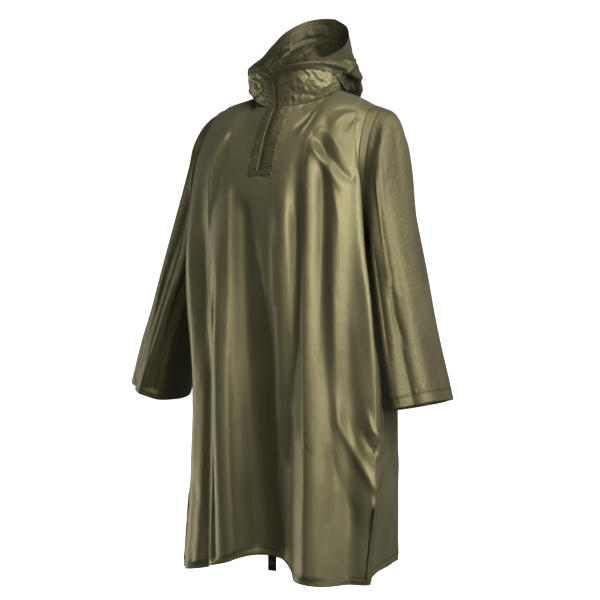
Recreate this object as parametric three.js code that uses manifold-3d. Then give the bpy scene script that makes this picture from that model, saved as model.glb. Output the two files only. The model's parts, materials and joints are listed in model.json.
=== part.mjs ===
// A rain poncho in coated taffeta: front and back panel, two wide sleeves, a stand collar with a half zip and a roomy
// hood. It keeps the hollow form it has when worn. Millimetres, +Z up, front towards -Y, the wearer's left towards +X.
// The origin is between the two neck points of the shoulder seams.
import Module from "manifold-3d";
import * as THREE from "three";

const clothThickness = 1.5;
const seamGap = 0.3;
const armGap = 0.5;
const underarmDrop = 340; // along the cloth from the shoulder seam to the underarm
const hemDrop = 1090;
const lapFrom = 700; // below this the front panel's side edge lies over the back panel
const lapSpace = 2.4; // between the two, where the press studs sit
const studDrops = [760, 822, 885];
const stud = { radius: 4.5, deep: 1.4 };

// Half sections of the front panel, wearer's left, one row for each distance down the cloth.
const frontSections = [
  { down: 0, centre: [0, -81, -43], neck: [72, -57, -27], chest: [101, 0, 0], corner: [150, 4, -18] },
  { down: 50, centre: [0, -112, -80], neck: [76, -96, -66], chest: [110, -54, -28], corner: [164, -40, -38] },
  { down: 120, centre: [0, -146, -135], neck: [76, -140, -126], chest: [119, -112, -88], corner: [184, -86, -94] },
  { down: 200, centre: [0, -169, -199], neck: [74, -165, -196], chest: [124, -150, -174], corner: [202, -112, -176] },
  { down: 340, centre: [0, -177, -337], neck: [68, -175, -336], chest: [130, -164, -336], corner: [222, -126, -336] },
  { down: 480, centre: [0, -176, -474], neck: [66, -178, -474], chest: [134, -170, -474], corner: [243, -132, -474] },
  { down: 620, centre: [0, -172, -610], neck: [66, -177, -610], chest: [136, -174, -610], corner: [250, -135, -610] },
  { down: 780, centre: [0, -166, -766], neck: [66, -174, -766], chest: [136, -178, -766], corner: [252, -135, -766] },
  { down: 930, centre: [0, -158, -912], neck: [64, -168, -912], chest: [134, -182, -912], corner: [245, -136, -912] },
  { down: 1090, centre: [0, -148, -1066], neck: [62, -160, -1066], chest: [132, -184, -1066], corner: [230, -138, -1066] },
];
const backSections = [
  { down: 0, centre: [0, 78, 10], neck: [70, 56, 7], chest: [101, 0, 0], corner: [150, 4, -18] },
  { down: 50, centre: [0, 106, -32], neck: [74, 94, -32], chest: [109, 52, -26], corner: [163, 44, -44] },
  { down: 120, centre: [0, 127, -98], neck: [74, 121, -96], chest: [116, 100, -84], corner: [177, 84, -98] },
  { down: 200, centre: [0, 138, -178], neck: [72, 134, -177], chest: [119, 124, -170], corner: [185, 104, -178] },
  { down: 340, centre: [0, 143, -330], neck: [68, 141, -330], chest: [122, 137, -332], corner: [190, 112, -334] },
  { down: 480, centre: [0, 146, -466], neck: [66, 145, -466], chest: [122, 141, -468], corner: [185, 114, -472] },
  { down: 620, centre: [0, 148, -602], neck: [66, 147, -602], chest: [122, 143, -604], corner: [182, 115, -608] },
  { down: 780, centre: [0, 150, -756], neck: [66, 149, -756], chest: [122, 145, -758], corner: [180, 117, -762] },
  { down: 930, centre: [0, 150, -900], neck: [66, 149, -900], chest: [122, 145, -902], corner: [179, 117, -906] },
  { down: 1090, centre: [0, 148, -1050], neck: [66, 147, -1050], chest: [124, 143, -1050], corner: [178, 115, -1052] },
];
// Below the underarm: the fold in which the front panel turns back, the side seam, the back panel beside it, and
// where the front panel's fold and edge really lie once the side slit is open.
const sideLine = [
  { down: 340, tuck: [182, -74, -336], seam: [186, -4, -335], side: [182, 48, -335] },
  { down: 420, tuck: [196, -92, -414], seam: [184, -24, -414], side: [183, 40, -412] },
  { down: 500, tuck: [226, -110, -492], seam: [206, -66, -492], side: [184, 26, -488] },
  { down: 580, tuck: [252, -117, -570], seam: [244, -96, -570], side: [198, 14, -566] },
  { down: 660, tuck: [259, -118, -648], seam: [257, -95, -648], side: [214, 10, -644] },
  { down: 780, tuck: [261, -117, -765], seam: [261, -93, -765], side: [224, 10, -762] },
  { down: 885, tuck: [257, -118, -868], seam: [257, -93, -868], side: [224, 10, -863] },
  { down: 930, tuck: [254, -118, -911], seam: [254, -93, -911], side: [223, 10, -906] },
  { down: 1090, tuck: [239, -119, -1064], seam: [239, -95, -1064], side: [212, 10, -1054] },
].map((row) => ({ ...row, openTuck: row.tuck, openSeam: row.seam }));
sideLine.slice(-2).forEach((row, i) => {
  row.openTuck = [[255, -132, -911], [239, -134, -1066]][i];
  row.openSeam = [[259, -118, -911], [243, -120, -1066]][i];
});
// The wearer's right half against the left: how wide it is, how much higher its shoulder is, and how far its front
// corner is set back, which makes that side rounder.
const rightHalf = [
  { down: 0, spread: 1.03, rise: 14, setBack: 0 }, { down: 120, spread: 1.03, rise: 12, setBack: 0 },
  { down: 340, spread: 1, rise: 3, setBack: 4 }, { down: 480, spread: 0.96, rise: 0, setBack: 26 },
  { down: 620, spread: 0.91, rise: 0, setBack: 40 }, { down: 720, spread: 0.9, rise: 0, setBack: 44 },
  { down: 800, spread: 0.91, rise: 0, setBack: 44 }, { down: 930, spread: 0.94, rise: 0, setBack: 40 },
  { down: 1090, spread: 1.01, rise: 0, setBack: 30 },
];
const armhole = { topX: 195, lowX: 186, topZ: -41, lowZ: -335, topY: 4, lowY: -4, reachFront: 64, reachBack: 68 };

// Folds of a panel: across is measured on the cloth from the middle, wearer's left positive; height is out of the
// cloth at the fold's deepest, and it grows from start to full and dies away from fade to end.
const frontFolds = [
  { topAcross: -190, hemAcross: -212, start: 90, full: 420, fade: 1200, end: 1300, width: 24, height: 15 },
  { topAcross: -150, hemAcross: -150, start: 260, full: 620, fade: 1200, end: 1300, width: 20, height: -17 },
  { topAcross: -112, hemAcross: -78, start: 130, full: 640, fade: 1200, end: 1300, width: 30, height: 19 },
  { topAcross: -40, hemAcross: 6, start: 230, full: 1000, fade: 1200, end: 1300, width: 52, height: -34 },
  { topAcross: 54, hemAcross: 62, start: 150, full: 330, fade: 520, end: 860, width: 22, height: 11 },
  { topAcross: 88, hemAcross: 92, start: 110, full: 280, fade: 620, end: 940, width: 13, height: -10 },
  { topAcross: 112, hemAcross: 152, start: 150, full: 980, fade: 1200, end: 1300, width: 46, height: 34 },
  { topAcross: 152, hemAcross: 150, start: 60, full: 200, fade: 360, end: 700, width: 14, height: -10 },
  { topAcross: 182, hemAcross: 196, start: 90, full: 260, fade: 480, end: 820, width: 22, height: 11 },
  { topAcross: 222, hemAcross: 222, start: 420, full: 760, fade: 1200, end: 1300, width: 22, height: -11 },
];
const backFolds = [
  { topAcross: -196, hemAcross: -226, start: 120, full: 560, fade: 1200, end: 1300, width: 26, height: 17 },
  { topAcross: -128, hemAcross: -160, start: 160, full: 800, fade: 1200, end: 1300, width: 26, height: -16 },
  { topAcross: -76, hemAcross: -98, start: 110, full: 720, fade: 1200, end: 1300, width: 30, height: 22 },
  { topAcross: -22, hemAcross: -24, start: 200, full: 900, fade: 1200, end: 1300, width: 34, height: -20 },
  { topAcross: 40, hemAcross: 52, start: 120, full: 700, fade: 1200, end: 1300, width: 28, height: 21 },
  { topAcross: 92, hemAcross: 116, start: 180, full: 860, fade: 1200, end: 1300, width: 24, height: -14 },
  { topAcross: 148, hemAcross: 176, start: 130, full: 620, fade: 1200, end: 1300, width: 26, height: 11 },
];
// How far each hem is lifted above its level, along the cloth across the panel.
const frontHemLift = [
  { across: -330, lift: -4 }, { across: -210, lift: 0 }, { across: -120, lift: 20 }, { across: -40, lift: 40 },
  { across: 40, lift: 29 }, { across: 110, lift: 8 }, { across: 180, lift: 0 }, { across: 330, lift: 0 },
];
const backHemLift = [
  { across: -360, lift: 8 }, { across: -260, lift: 0 }, { across: -120, lift: 4 }, { across: 0, lift: 14 },
  { across: 120, lift: 4 }, { across: 260, lift: 0 }, { across: 360, lift: 8 },
];
const hemLiftReach = 420; // the lift is spread over this much of the cloth above the hem

// Rings of each sleeve: the outer (upper) and inner (lower) point in the frontal plane and the reach to front and back.
const leftSleeveRings = [
  { outer: [195, -41], inner: [186, -335], front: -64, back: 68 },
  { outer: [228, -55], inner: [199, -338], front: -70, back: 74 },
  { outer: [246, -82], inner: [206, -352], front: -80, back: 77 },
  { outer: [257, -150], inner: [210, -380], front: -84, back: 76 },
  { outer: [269, -250], inner: [215, -428], front: -86, back: 76 },
  { outer: [300, -410], inner: [224, -504], front: -90, back: 80 },
  { outer: [330, -556], inner: [240, -602], front: -98, back: 84 },
  { outer: [362, -680], inner: [257, -704], front: -104, back: 88 },
];
const rightSleeveRings = [
  { outer: [201, -28], inner: [186, -335], front: -64, back: 68 },
  { outer: [236, -46], inner: [203, -338], front: -70, back: 74 },
  { outer: [257, -76], inner: [207, -352], front: -80, back: 77 },
  { outer: [269, -150], inner: [213, -380], front: -86, back: 76 },
  { outer: [300, -250], inner: [226, -424], front: -90, back: 76 },
  { outer: [351, -410], inner: [262, -494], front: -94, back: 80 },
  { outer: [393, -546], inner: [295, -592], front: -102, back: 84 },
  { outer: [425, -654], inner: [322, -698], front: -110, back: 88 },
];
// Sleeve folds: turn is the place round the sleeve in degrees, 0 at the top and 90 at the front.
const sleeveFolds = [
  { topTurn: 58, cuffTurn: 30, start: 0.08, full: 0.5, width: 15, height: 9 },
  { topTurn: 92, cuffTurn: 66, start: 0.12, full: 0.6, width: 13, height: -9 },
  { topTurn: 128, cuffTurn: 104, start: 0.15, full: 0.7, width: 15, height: 8 },
  { topTurn: 236, cuffTurn: 262, start: 0.15, full: 0.7, width: 16, height: 8 },
  { topTurn: 274, cuffTurn: 300, start: 0.12, full: 0.6, width: 14, height: -8 },
  { topTurn: 304, cuffTurn: 334, start: 0.1, full: 0.5, width: 15, height: 8 },
];

// Stand collar, half, from the zip round to the nape: where it is sewn on, its middle and its top edge.
const collarStations = [
  { base: [0, -81, -43], middle: [0, -98, -2], top: [0, -107, 38] },
  { base: [72, -57, -27], middle: [83, -76, 8], top: [73, -90, 43] },
  { base: [101, 0, 0], middle: [107, -8, 24], top: [97, -14, 46] },
  { base: [70, 56, 7], middle: [68, 54, 28], top: [63, 50, 46] },
  { base: [0, 78, 10], middle: [0, 74, 28], top: [0, 69, 46] },
];
const collarCrumple = 1;
const hoodClearance = 3.4; // between the collar's face and the hood's, with the hood's cloth between them

// Hood, one row for each direction round the neck, 0 at the throat and 180 at the nape: distance from the hood's
// axis and height of where it is sewn on, the underside and lip of its overhang, its side and its open edge.
const hoodAxisY = 20;
const leftHood = [
  { turn: 4, base: [127, 34], under: [128, 38], lip: [129, 42], side: [129.5, 43.5], rim: [129, 45] },
  { turn: 22, base: [132, 36], under: [134, 40], lip: [136, 45], side: [136, 47], rim: [134, 49] },
  { turn: 42, base: [130, 38], under: [134, 47], lip: [137, 50], side: [136, 54], rim: [131, 59] },
  { turn: 65, base: [115, 30], under: [112, 42], lip: [121, 49], side: [119, 60], rim: [103, 75] },
  { turn: 85, base: [113, 2.5], under: [107, 36], lip: [122, 42], side: [117, 62], rim: [90, 88] },
  { turn: 108, base: [100, 5], under: [106, 28], lip: [127, 32], side: [117, 68], rim: [86, 100] },
  { turn: 130, base: [88, 9], under: [112, 14], lip: [130, 16], side: [118, 72], rim: [93, 113] },
  { turn: 150, base: [73, 13], under: [110, 6], lip: [147, 3], side: [132, 74], rim: [116, 140] },
  { turn: 166, base: [67, 15], under: [106, 2], lip: [145, 4], side: [150, 78], rim: [136, 170] },
  { turn: 180, base: [66, 16], under: [104, 1], lip: [149, 2], side: [158, 80], rim: [139, 190] },
];
const rightHood = [
  { turn: 4, base: [127, 34], under: [128, 38], lip: [129, 42], side: [129.5, 43.5], rim: [129, 45] },
  { turn: 22, base: [132, 36], under: [132, 40], lip: [133, 43], side: [133, 46], rim: [130, 49] },
  { turn: 42, base: [130, 38], under: [130, 45], lip: [129, 50], side: [126, 54], rim: [118, 60] },
  { turn: 65, base: [115, 30], under: [113, 44], lip: [119, 50], side: [114, 64], rim: [94, 81] },
  { turn: 85, base: [113, 2.5], under: [108, 36], lip: [119, 44], side: [114, 74], rim: [91, 103] },
  { turn: 108, base: [100, 5], under: [106, 28], lip: [123, 36], side: [118, 86], rim: [97, 129] },
  { turn: 130, base: [88, 9], under: [112, 14], lip: [132, 20], side: [130, 92], rim: [116, 160] },
  { turn: 150, base: [73, 13], under: [110, 6], lip: [142, 10], side: [146, 94], rim: [131, 185] },
  { turn: 166, base: [67, 15], under: [106, 2], lip: [147, 4], side: [155, 88], rim: [138, 193] },
  { turn: 180, base: [66, 16], under: [104, 1], lip: [149, 2], side: [158, 80], rim: [139, 190] },
];

// Zip, its placket, slider and pull, and the tab at the hem.
const slotHalf = 8; // half the opening that the zip fills
const placketMiddle = 19;
const placketHalf = 30;
const placketThickness = 1;
const zipHalf = 7.6;
const zipMiddleGap = 0.3;
const zipThickness = 1.6;
const zipSink = 0.8; // how far the zip's face lies below the cloth's
const armLevels = [0, 30, 60, 92, 124, 156, 186, 198, 232, 268, 304, underarmDrop];
const slotBottomDrop = 186;
const placketBottomDrop = 198;
const slider = { width: 9, length: 13, height: 3.2, lift: 0.4, belowTop: 9 };
const hingePin = { radius: 0.6, above: 2.1, fromFoot: 9, earInside: 2.1, earWidth: 1.2, earRadius: 1.4 };
const pull = { width: 3.8, length: 22, thickness: 1.4, barrelRadius: 1.5, holeRadius: 0.7 };
const hemTab = { width: 21, length: 66, thickness: 1.6, showing: 34, x: -5, behind: 5, studRadius: 6, studDeep: 2.4 };

const lowerRows = 12;
const columnsToChest = 6;
const columnsToCorner = 4;
const columnsToTuck = 3;
const columnsToSeam = 3;
const lapColumns = [1, 3, 4]; // columns of the front panel, counted from its edge, that the back panel lies under
const samplesPerSpan = 14;

const smooth = (from, to, at) => THREE.MathUtils.smoothstep(at, from, to);
const radians = THREE.MathUtils.degToRad;

// A named column of a table at a place between its rows, on a smooth curve through them.
function readTable(rows, by, column, at) {
  const value = (row) => [rows[row][column]].flat();
  let i = 0;
  while (i < rows.length - 2 && at > rows[i + 1][by]) i += 1;
  const place = (row) => rows[row][by];
  const span = place(i + 1) - place(i);
  const t = Math.min(1, Math.max(0, (at - place(i)) / span));
  const slope = (row) => {
    const before = Math.max(0, row - 1);
    const after = Math.min(rows.length - 1, row + 1);
    return value(after).map((v, k) => ((v - value(before)[k]) / (place(after) - place(before))) * span);
  };
  const [a, b, slopeA, slopeB] = [value(i), value(i + 1), slope(i), slope(i + 1)];
  const read = a.map((v, k) => {
    const rise = b[k] - v;
    return v + t * (slopeA[k] + t * (3 * rise - 2 * slopeA[k] - slopeB[k] + t * (slopeA[k] + slopeB[k] - 2 * rise)));
  });
  return read.length === 1 ? read[0] : read;
}

// A smooth curve through anchor points, sampled, with the sample number of each anchor.
function curveThrough(anchors, before, after) {
  const all = [before, ...anchors, after];
  const samples = [];
  for (let i = 1; i < all.length - 2; i += 1) {
    for (let step = 0; step < samplesPerSpan; step += 1) {
      const t = step / samplesPerSpan;
      samples.push(all[i].map((v, k) => {
        const [p0, p2, p3] = [all[i - 1][k], all[i + 1][k], all[i + 2][k]];
        return 0.5 * (2 * v + t * (p2 - p0 + t * (2 * p0 - 5 * v + 4 * p2 - p3 + t * (3 * v - p0 - 3 * p2 + p3))));
      }));
    }
  }
  samples.push(anchors[anchors.length - 1]);
  return samples;
}

const distance = (a, b) => Math.hypot(a[0] - b[0], a[1] - b[1], a[2] - b[2]);
const between = (a, b, t) => a.map((v, k) => v + (b[k] - v) * t);
const beyond = (last, beforeLast) => last.map((v, k) => 2 * v - beforeLast[k]);

// Points at the given distances along a sampled curve.
function pointsAt(samples, lengths, wanted) {
  return wanted.map((length) => {
    let i = 0;
    while (i < samples.length - 2 && lengths[i + 1] < length) i += 1;
    const t = (length - lengths[i]) / Math.max(1e-9, lengths[i + 1] - lengths[i]);
    return between(samples[i], samples[i + 1], t);
  });
}

function runningLengths(samples) {
  const lengths = [0];
  samples.slice(1).forEach((p, i) => lengths.push(lengths[i] + distance(samples[i], p)));
  return lengths;
}

function armholePoint(down, isFront) {
  const angle = (Math.PI * down) / underarmDrop;
  const { topX, lowX, topZ, lowZ, topY, lowY, reachFront, reachBack } = armhole;
  const share = (1 - Math.cos(angle)) / 2;
  const reach = isFront ? -reachFront : reachBack;
  return [topX + (lowX - topX) * share, topY + (lowY - topY) * share + reach * Math.sin(angle), topZ + (lowZ - topZ) * share];
}

// A point of the left half, or the same point of the right half, which is wider and higher at the shoulder.
function onSide(p, side, down) {
  if (side > 0) return p;
  const [spread, rise, setBack] = ["spread", "rise", "setBack"].map((name) => readTable(rightHalf, "down", name, down));
  return [-p[0] * spread, p[1] + setBack * smooth(170, 262, p[0]), p[2] + rise * smooth(103, 200, p[0])];
}

// One half of a panel at a distance down the cloth: its columns from the middle to the seam, with where each lies.
function halfRow(sections, isFront, down, side, isOpen) {
  const turned = (p) => onSide(p, side, down);
  const anchors = ["centre", "neck", "chest", "corner"].map((name) => readTable(sections, "down", name, down));
  const onArm = down <= underarmDrop;
  const [tuckName, seamName] = isOpen ? ["openTuck", "openSeam"] : ["tuck", "seam"];
  const seam = onArm ? armholePoint(down, isFront) : readTable(sideLine, "down", seamName, down);
  const lowTurn = readTable(sideLine, "down", isFront ? tuckName : "side", Math.max(down, underarmDrop));
  const highTurn = between(anchors[3], seam, 0.5);
  highTurn[0] -= 6;
  anchors.push(onArm ? between(highTurn, lowTurn, smooth(underarmDrop * 0.3, underarmDrop, down)) : lowTurn);
  if (onArm) anchors[4][2] = (anchors[3][2] + seam[2]) / 2;
  anchors.push(seam);
  const placed = anchors.map(turned);
  const mirrored = [-placed[1][0], placed[1][1], placed[1][2]];
  const samples = curveThrough(placed, mirrored, beyond(placed[placed.length - 1], placed[placed.length - 2]));
  const lengths = runningLengths(samples);
  const anchorLength = (i) => lengths[i * samplesPerSpan];
  const wanted = [slotHalf, placketMiddle, placketHalf];
  const spans = [
    [placketHalf, anchorLength(2), columnsToChest], [anchorLength(2), anchorLength(3), columnsToCorner],
    [anchorLength(3), anchorLength(4), columnsToTuck], [anchorLength(4), anchorLength(5), columnsToSeam],
  ];
  spans.forEach(([from, to, count]) => {
    for (let i = 1; i <= count; i += 1) wanted.push(from + ((to - from) * i) / count);
  });
  const points = pointsAt(samples, lengths, wanted);
  if (down === 0) shoulderLine(placed).forEach((p, i) => { points[3 + columnsToChest + i] = p; });
  return { points, across: wanted.map((v) => v * side), reach: lengths[lengths.length - 1] };
}

// The shoulder seam, the same for both panels, from beside the chest anchor to the armhole.
function shoulderLine(anchors) {
  const ends = [anchors[2], anchors[3], anchors[5]];
  const samples = curveThrough(ends, beyond(ends[0], ends[1]), beyond(ends[2], ends[1]));
  const lengths = runningLengths(samples);
  const count = columnsToCorner + columnsToTuck + columnsToSeam;
  return pointsAt(samples, lengths, Array.from({ length: count }, (_, i) => (lengths[lengths.length - 1] * (i + 1)) / count));
}

function foldHeight(folds, across, down) {
  return folds.reduce((sum, fold) => {
    const middle = fold.topAcross + (fold.hemAcross - fold.topAcross) * (down / hemDrop);
    const away = (across - middle) / fold.width;
    const grown = smooth(fold.start, fold.full, down) * (1 - smooth(fold.fade, fold.end, down));
    return sum + fold.height * grown * Math.exp(-away * away);
  }, 0);
}

const vector = (p) => new THREE.Vector3(...p);

// Outward normals of a grid of points. sense is 1 where rows go down and columns go anticlockwise seen from above.
function gridNormals(grid, sense, isRing) {
  const rows = grid.length;
  const columns = grid[0].length;
  return grid.map((line, r) => line.map((p, c) => {
    const left = isRing ? line[(c + columns - 1) % columns] : line[Math.max(0, c - 1)];
    const right = isRing ? line[(c + 1) % columns] : line[Math.min(columns - 1, c + 1)];
    const up = grid[Math.max(0, r - 1)][c];
    const low = grid[Math.min(rows - 1, r + 1)][c];
    return vector(low).sub(vector(up)).cross(vector(right).sub(vector(left))).multiplyScalar(sense).normalize();
  }));
}

// A closed wall: the grid is its outer face, and the inner face lies one thickness behind it.
// skipped(row, column) leaves a cell out, as at the zip's slot.
function wall(outer, normals, thickness, { sense = 1, isRing = false, skipped = () => false } = {}) {
  const rows = outer.length;
  const columns = outer[0].length;
  const positions = [];
  const addLayer = (shift) => outer.forEach((line, r) => line.forEach((p, c) => {
    const n = normals[r][c];
    positions.push(p[0] - n.x * shift, p[1] - n.y * shift, p[2] - n.z * shift);
  }));
  addLayer(0);
  addLayer(thickness);
  const number = (layer, r, c) => layer * rows * columns + r * columns + (c % columns);
  const cellColumns = isRing ? columns : columns - 1;
  const isThere = (r, c) => {
    const column = isRing ? (c + cellColumns) % cellColumns : c;
    return r >= 0 && r < rows - 1 && column >= 0 && column < cellColumns && !skipped(r, column);
  };
  const faces = [];
  const quad = (a, b, c, d) => faces.push(...(sense > 0 ? [a, b, c, a, c, d] : [a, c, b, a, d, c]));
  for (let r = 0; r < rows - 1; r += 1) {
    for (let c = 0; c < cellColumns; c += 1) {
      if (!isThere(r, c)) continue;
      const o = [number(0, r, c), number(0, r + 1, c), number(0, r + 1, c + 1), number(0, r, c + 1)];
      const n = [number(1, r, c), number(1, r + 1, c), number(1, r + 1, c + 1), number(1, r, c + 1)];
      quad(o[0], o[1], o[2], o[3]);
      quad(n[0], n[3], n[2], n[1]);
      if (!isThere(r - 1, c)) quad(o[0], o[3], n[3], n[0]);
      if (!isThere(r + 1, c)) quad(o[2], o[1], n[1], n[2]);
      if (!isThere(r, c - 1)) quad(o[1], o[0], n[0], n[1]);
      if (!isThere(r, c + 1)) quad(o[3], o[2], n[2], n[3]);
    }
  }
  const used = [...new Set(faces)];
  const renumbered = new Map(used.map((old, i) => [old, i]));
  const kept = used.flatMap((old) => positions.slice(old * 3, old * 3 + 3));
  const geometry = new THREE.BufferGeometry();
  geometry.setAttribute("position", new THREE.Float32BufferAttribute(kept, 3));
  geometry.setIndex(faces.map((old) => renumbered.get(old)));
  return geometry;
}

const moved = (p, direction, length) => [
  p[0] + direction.x * length, p[1] + direction.y * length, p[2] + direction.z * length,
];

const levels = [...armLevels];
for (let i = 1; i <= lowerRows; i += 1) levels.push(underarmDrop + ((hemDrop - underarmDrop) * i) / lowerRows);

// A panel's outer points with folds and hem, and the drop and place across of each.
function panelGrid(sections, folds, hemLift, isFront, isOpen = false) {
  const across = [];
  const reach = [];
  const flat = levels.map((down) => {
    const left = halfRow(sections, isFront, down, 1, isOpen);
    const right = halfRow(sections, isFront, down, -1, isOpen);
    across.push([...right.across].reverse().concat(left.across));
    reach.push([right.reach, left.reach]);
    return [...right.points].reverse().concat(left.points);
  });
  const normals = gridNormals(flat, isFront ? 1 : -1, false);
  return flat.map((line, r) => line.map((p, c) => {
    const s = across[r][c];
    const toSeam = reach[r][s > 0 ? 1 : 0] - Math.abs(s);
    const held = smooth(0, 46, toSeam);
    const n = normals[r][c].clone();
    const out = moved(p, n, foldHeight(folds, s, levels[r]) * held);
    const lift = readTable(hemLift, "across", "lift", s);
    out[2] += lift * smooth(hemDrop - hemLiftReach, hemDrop, levels[r]) ** 1.5;
    return out;
  }));
}

// Moves the edge columns of both panels apart by the seam gap, and gives them one shared normal.
function partSeams(front, back) {
  const frontNormals = gridNormals(front, 1, false);
  const backNormals = gridNormals(back, -1, false);
  const shoulderColumns = columnsToChest + 3;
  levels.forEach((down, r) => {
    [0, 1].forEach((end) => {
      const f = end ? front[r].length - 1 : 0;
      const b = end ? back[r].length - 1 : 0;
      const inF = end ? f - 1 : 1;
      const inB = end ? b - 1 : 1;
      if (down >= underarmDrop) {
        const along = vector(back[r][inB]).sub(vector(front[r][inF])).normalize();
        const shared = new THREE.Vector3(along.y, -along.x, 0).multiplyScalar(end ? 1 : -1).normalize();
        frontNormals[r][f] = shared;
        backNormals[r][b] = shared;
        front[r][f] = moved(front[r][f], along, -seamGap / 2);
        back[r][b] = moved(back[r][b], along, seamGap / 2);
      }
    });
  });
  const upward = new THREE.Vector3(0, 0, 1);
  [[front, frontNormals, -1], [back, backNormals, 1]].forEach(([grid, normals, towards]) => {
    const count = grid[0].length;
    grid[0].forEach((p, c) => {
      const fromMiddle = c < count / 2 ? count / 2 - 1 - c : c - count / 2;
      if (fromMiddle < shoulderColumns - 1) return;
      normals[0][c] = upward;
      p[1] += (towards * seamGap) / 2;
    });
  });
  return { frontNormals, backNormals };
}

// Below lapFrom the back panel steps in at its edge and runs on under the front panel.
function runUnder(front, frontNormals, back, backNormals) {
  const depth = clothThickness + lapSpace;
  levels.forEach((down, r) => {
    const lapped = smooth(lapFrom - 60, lapFrom, down);
    [0, 1].forEach((end) => {
      [1, 0.85, 0.5, 0.18].forEach((share, k) => {
        const c = end ? back[r].length - 1 - k : k;
        back[r][c] = moved(back[r][c], backNormals[r][c], -depth * share * lapped);
      });
    });
    const edge = front[r].length - 1;
    lapColumns.forEach((k) => {
      back[r].push(moved(front[r][edge - k], frontNormals[r][edge - k], -depth));
      backNormals[r].push(frontNormals[r][edge - k]);
      back[r].unshift(moved(front[r][k], frontNormals[r][k], -depth));
      backNormals[r].unshift(frontNormals[r][k]);
    });
  });
}

const closedFrontGrid = panelGrid(frontSections, frontFolds, frontHemLift, true);
const backGrid = panelGrid(backSections, backFolds, backHemLift, false);
const closed = partSeams(closedFrontGrid, backGrid);
const backNormals = closed.backNormals;
runUnder(closedFrontGrid, closed.frontNormals, backGrid, backNormals);
const frontGrid = panelGrid(frontSections, frontFolds, frontHemLift, true, true);
const frontNormals = partSeams(frontGrid, panelGrid(backSections, backFolds, backHemLift, false)).frontNormals;

const slotColumn = frontGrid[0].length / 2 - 1;
const slotRows = levels.indexOf(slotBottomDrop);
const placketRows = levels.indexOf(placketBottomDrop);

const frontPanel = () => wall(frontGrid, frontNormals, clothThickness, {
  skipped: (r, c) => c === slotColumn && r < slotRows,
});
const backPanel = () => wall(backGrid, backNormals, clothThickness, {
  sense: -1,
  skipped: (r, c) => {
    const isLap = c < lapColumns.length || c >= backGrid[r].length - 1 - lapColumns.length;
    return isLap && levels[r] < lapFrom;
  },
});

// A press stud, closed, between the front panel's edge and the back panel.
function pressStud(drop, side) {
  const r = levels.findIndex((down, i) => levels[i + 1] > drop);
  const t = (drop - levels[r]) / (levels[r + 1] - levels[r]);
  const c = side > 0 ? frontGrid[r].length - 3 : 2;
  const out = frontNormals[r][c].clone().lerp(frontNormals[r + 1][c], t).normalize();
  const back = clothThickness + (lapSpace + stud.deep) / 2;
  const foot = moved(between(frontGrid[r][c], frontGrid[r + 1][c], t), out, -back);
  const profile = [[0, 0], [stud.radius, 0], [stud.radius, stud.deep * 0.6], [stud.radius * 0.8, stud.deep], [0, stud.deep]];
  const geometry = new THREE.LatheGeometry(profile.map(([x, y]) => new THREE.Vector2(x, y)), 16);
  const turned = new THREE.Quaternion().setFromUnitVectors(new THREE.Vector3(0, 1, 0), out);
  geometry.applyQuaternion(turned);
  geometry.translate(...foot);
  return geometry;
}

// The placket lies on the front panel: the panel's own points round the zip, moved out.
function placket() {
  const columns = [-2, -1, 0, 1, 2, 3].map((step) => slotColumn + step);
  const away = seamGap + placketThickness;
  const outer = [];
  const normals = [];
  for (let r = 0; r <= placketRows; r += 1) {
    outer.push(columns.map((c) => moved(frontGrid[r][c], frontNormals[r][c], away)));
    normals.push(columns.map((c) => frontNormals[r][c]));
  }
  return wall(outer, normals, placketThickness, { skipped: (r, c) => c === 2 && r < slotRows });
}

// Sleeve rings, each a loop of points whose first is at the top and whose count goes by the front to the underarm.
function sleeveGrid(rings, side) {
  const table = rings.map((ring, i) => ({ at: i / (rings.length - 1), ...ring }));
  const turns = armLevels.map((down) => (Math.PI * down) / underarmDrop);
  const loop = [...turns, ...turns.slice(1, -1).reverse().map((turn) => 2 * Math.PI - turn)];
  const count = 17;
  const grid = [];
  for (let i = 0; i < count; i += 1) {
    const at = i / (count - 1);
    const [outer, inner, front, back] = ["outer", "inner", "front", "back"].map((k) => readTable(table, "at", k, at));
    const middleY = (armhole.topY + armhole.lowY) / 2;
    const lean = (armhole.topY - armhole.lowY) / 2;
    grid.push(loop.map((turn) => {
      const share = (1 - Math.cos(turn)) / 2;
      const reach = Math.sin(turn) > 0 ? front : -back;
      const fold = sleeveFolds.reduce((sum, f) => {
        const middle = f.topTurn + (f.cuffTurn - f.topTurn) * at;
        const away = (THREE.MathUtils.radToDeg(turn) - middle) / f.width;
        return sum + f.height * smooth(f.start, f.full, at) * Math.exp(-away * away);
      }, 0);
      const girth = 1 + fold / 90;
      const x = (outer[0] + inner[0]) / 2 + ((outer[0] - inner[0]) / 2) * Math.cos(turn) * girth;
      const z = (outer[1] + inner[1]) / 2 + ((outer[1] - inner[1]) / 2) * Math.cos(turn) * girth;
      const y = middleY + lean * Math.cos(turn) * (1 - at) + reach * Math.sin(turn) * girth;
      if (i > 0) return [x * side, y, z];
      const isFront = turn <= Math.PI;
      const down = (underarmDrop * (isFront ? turn : 2 * Math.PI - turn)) / Math.PI;
      const start = onSide(armholePoint(down, isFront), side, down);
      return [start[0] + side * armGap, start[1], start[2]];
    }));
  }
  return grid;
}

function sleeve(rings, side) {
  const grid = sleeveGrid(rings, side);
  const sense = side > 0 ? 1 : -1;
  const normals = gridNormals(grid, sense, true);
  return wall(grid, normals, clothThickness, { sense, isRing: true });
}

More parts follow.
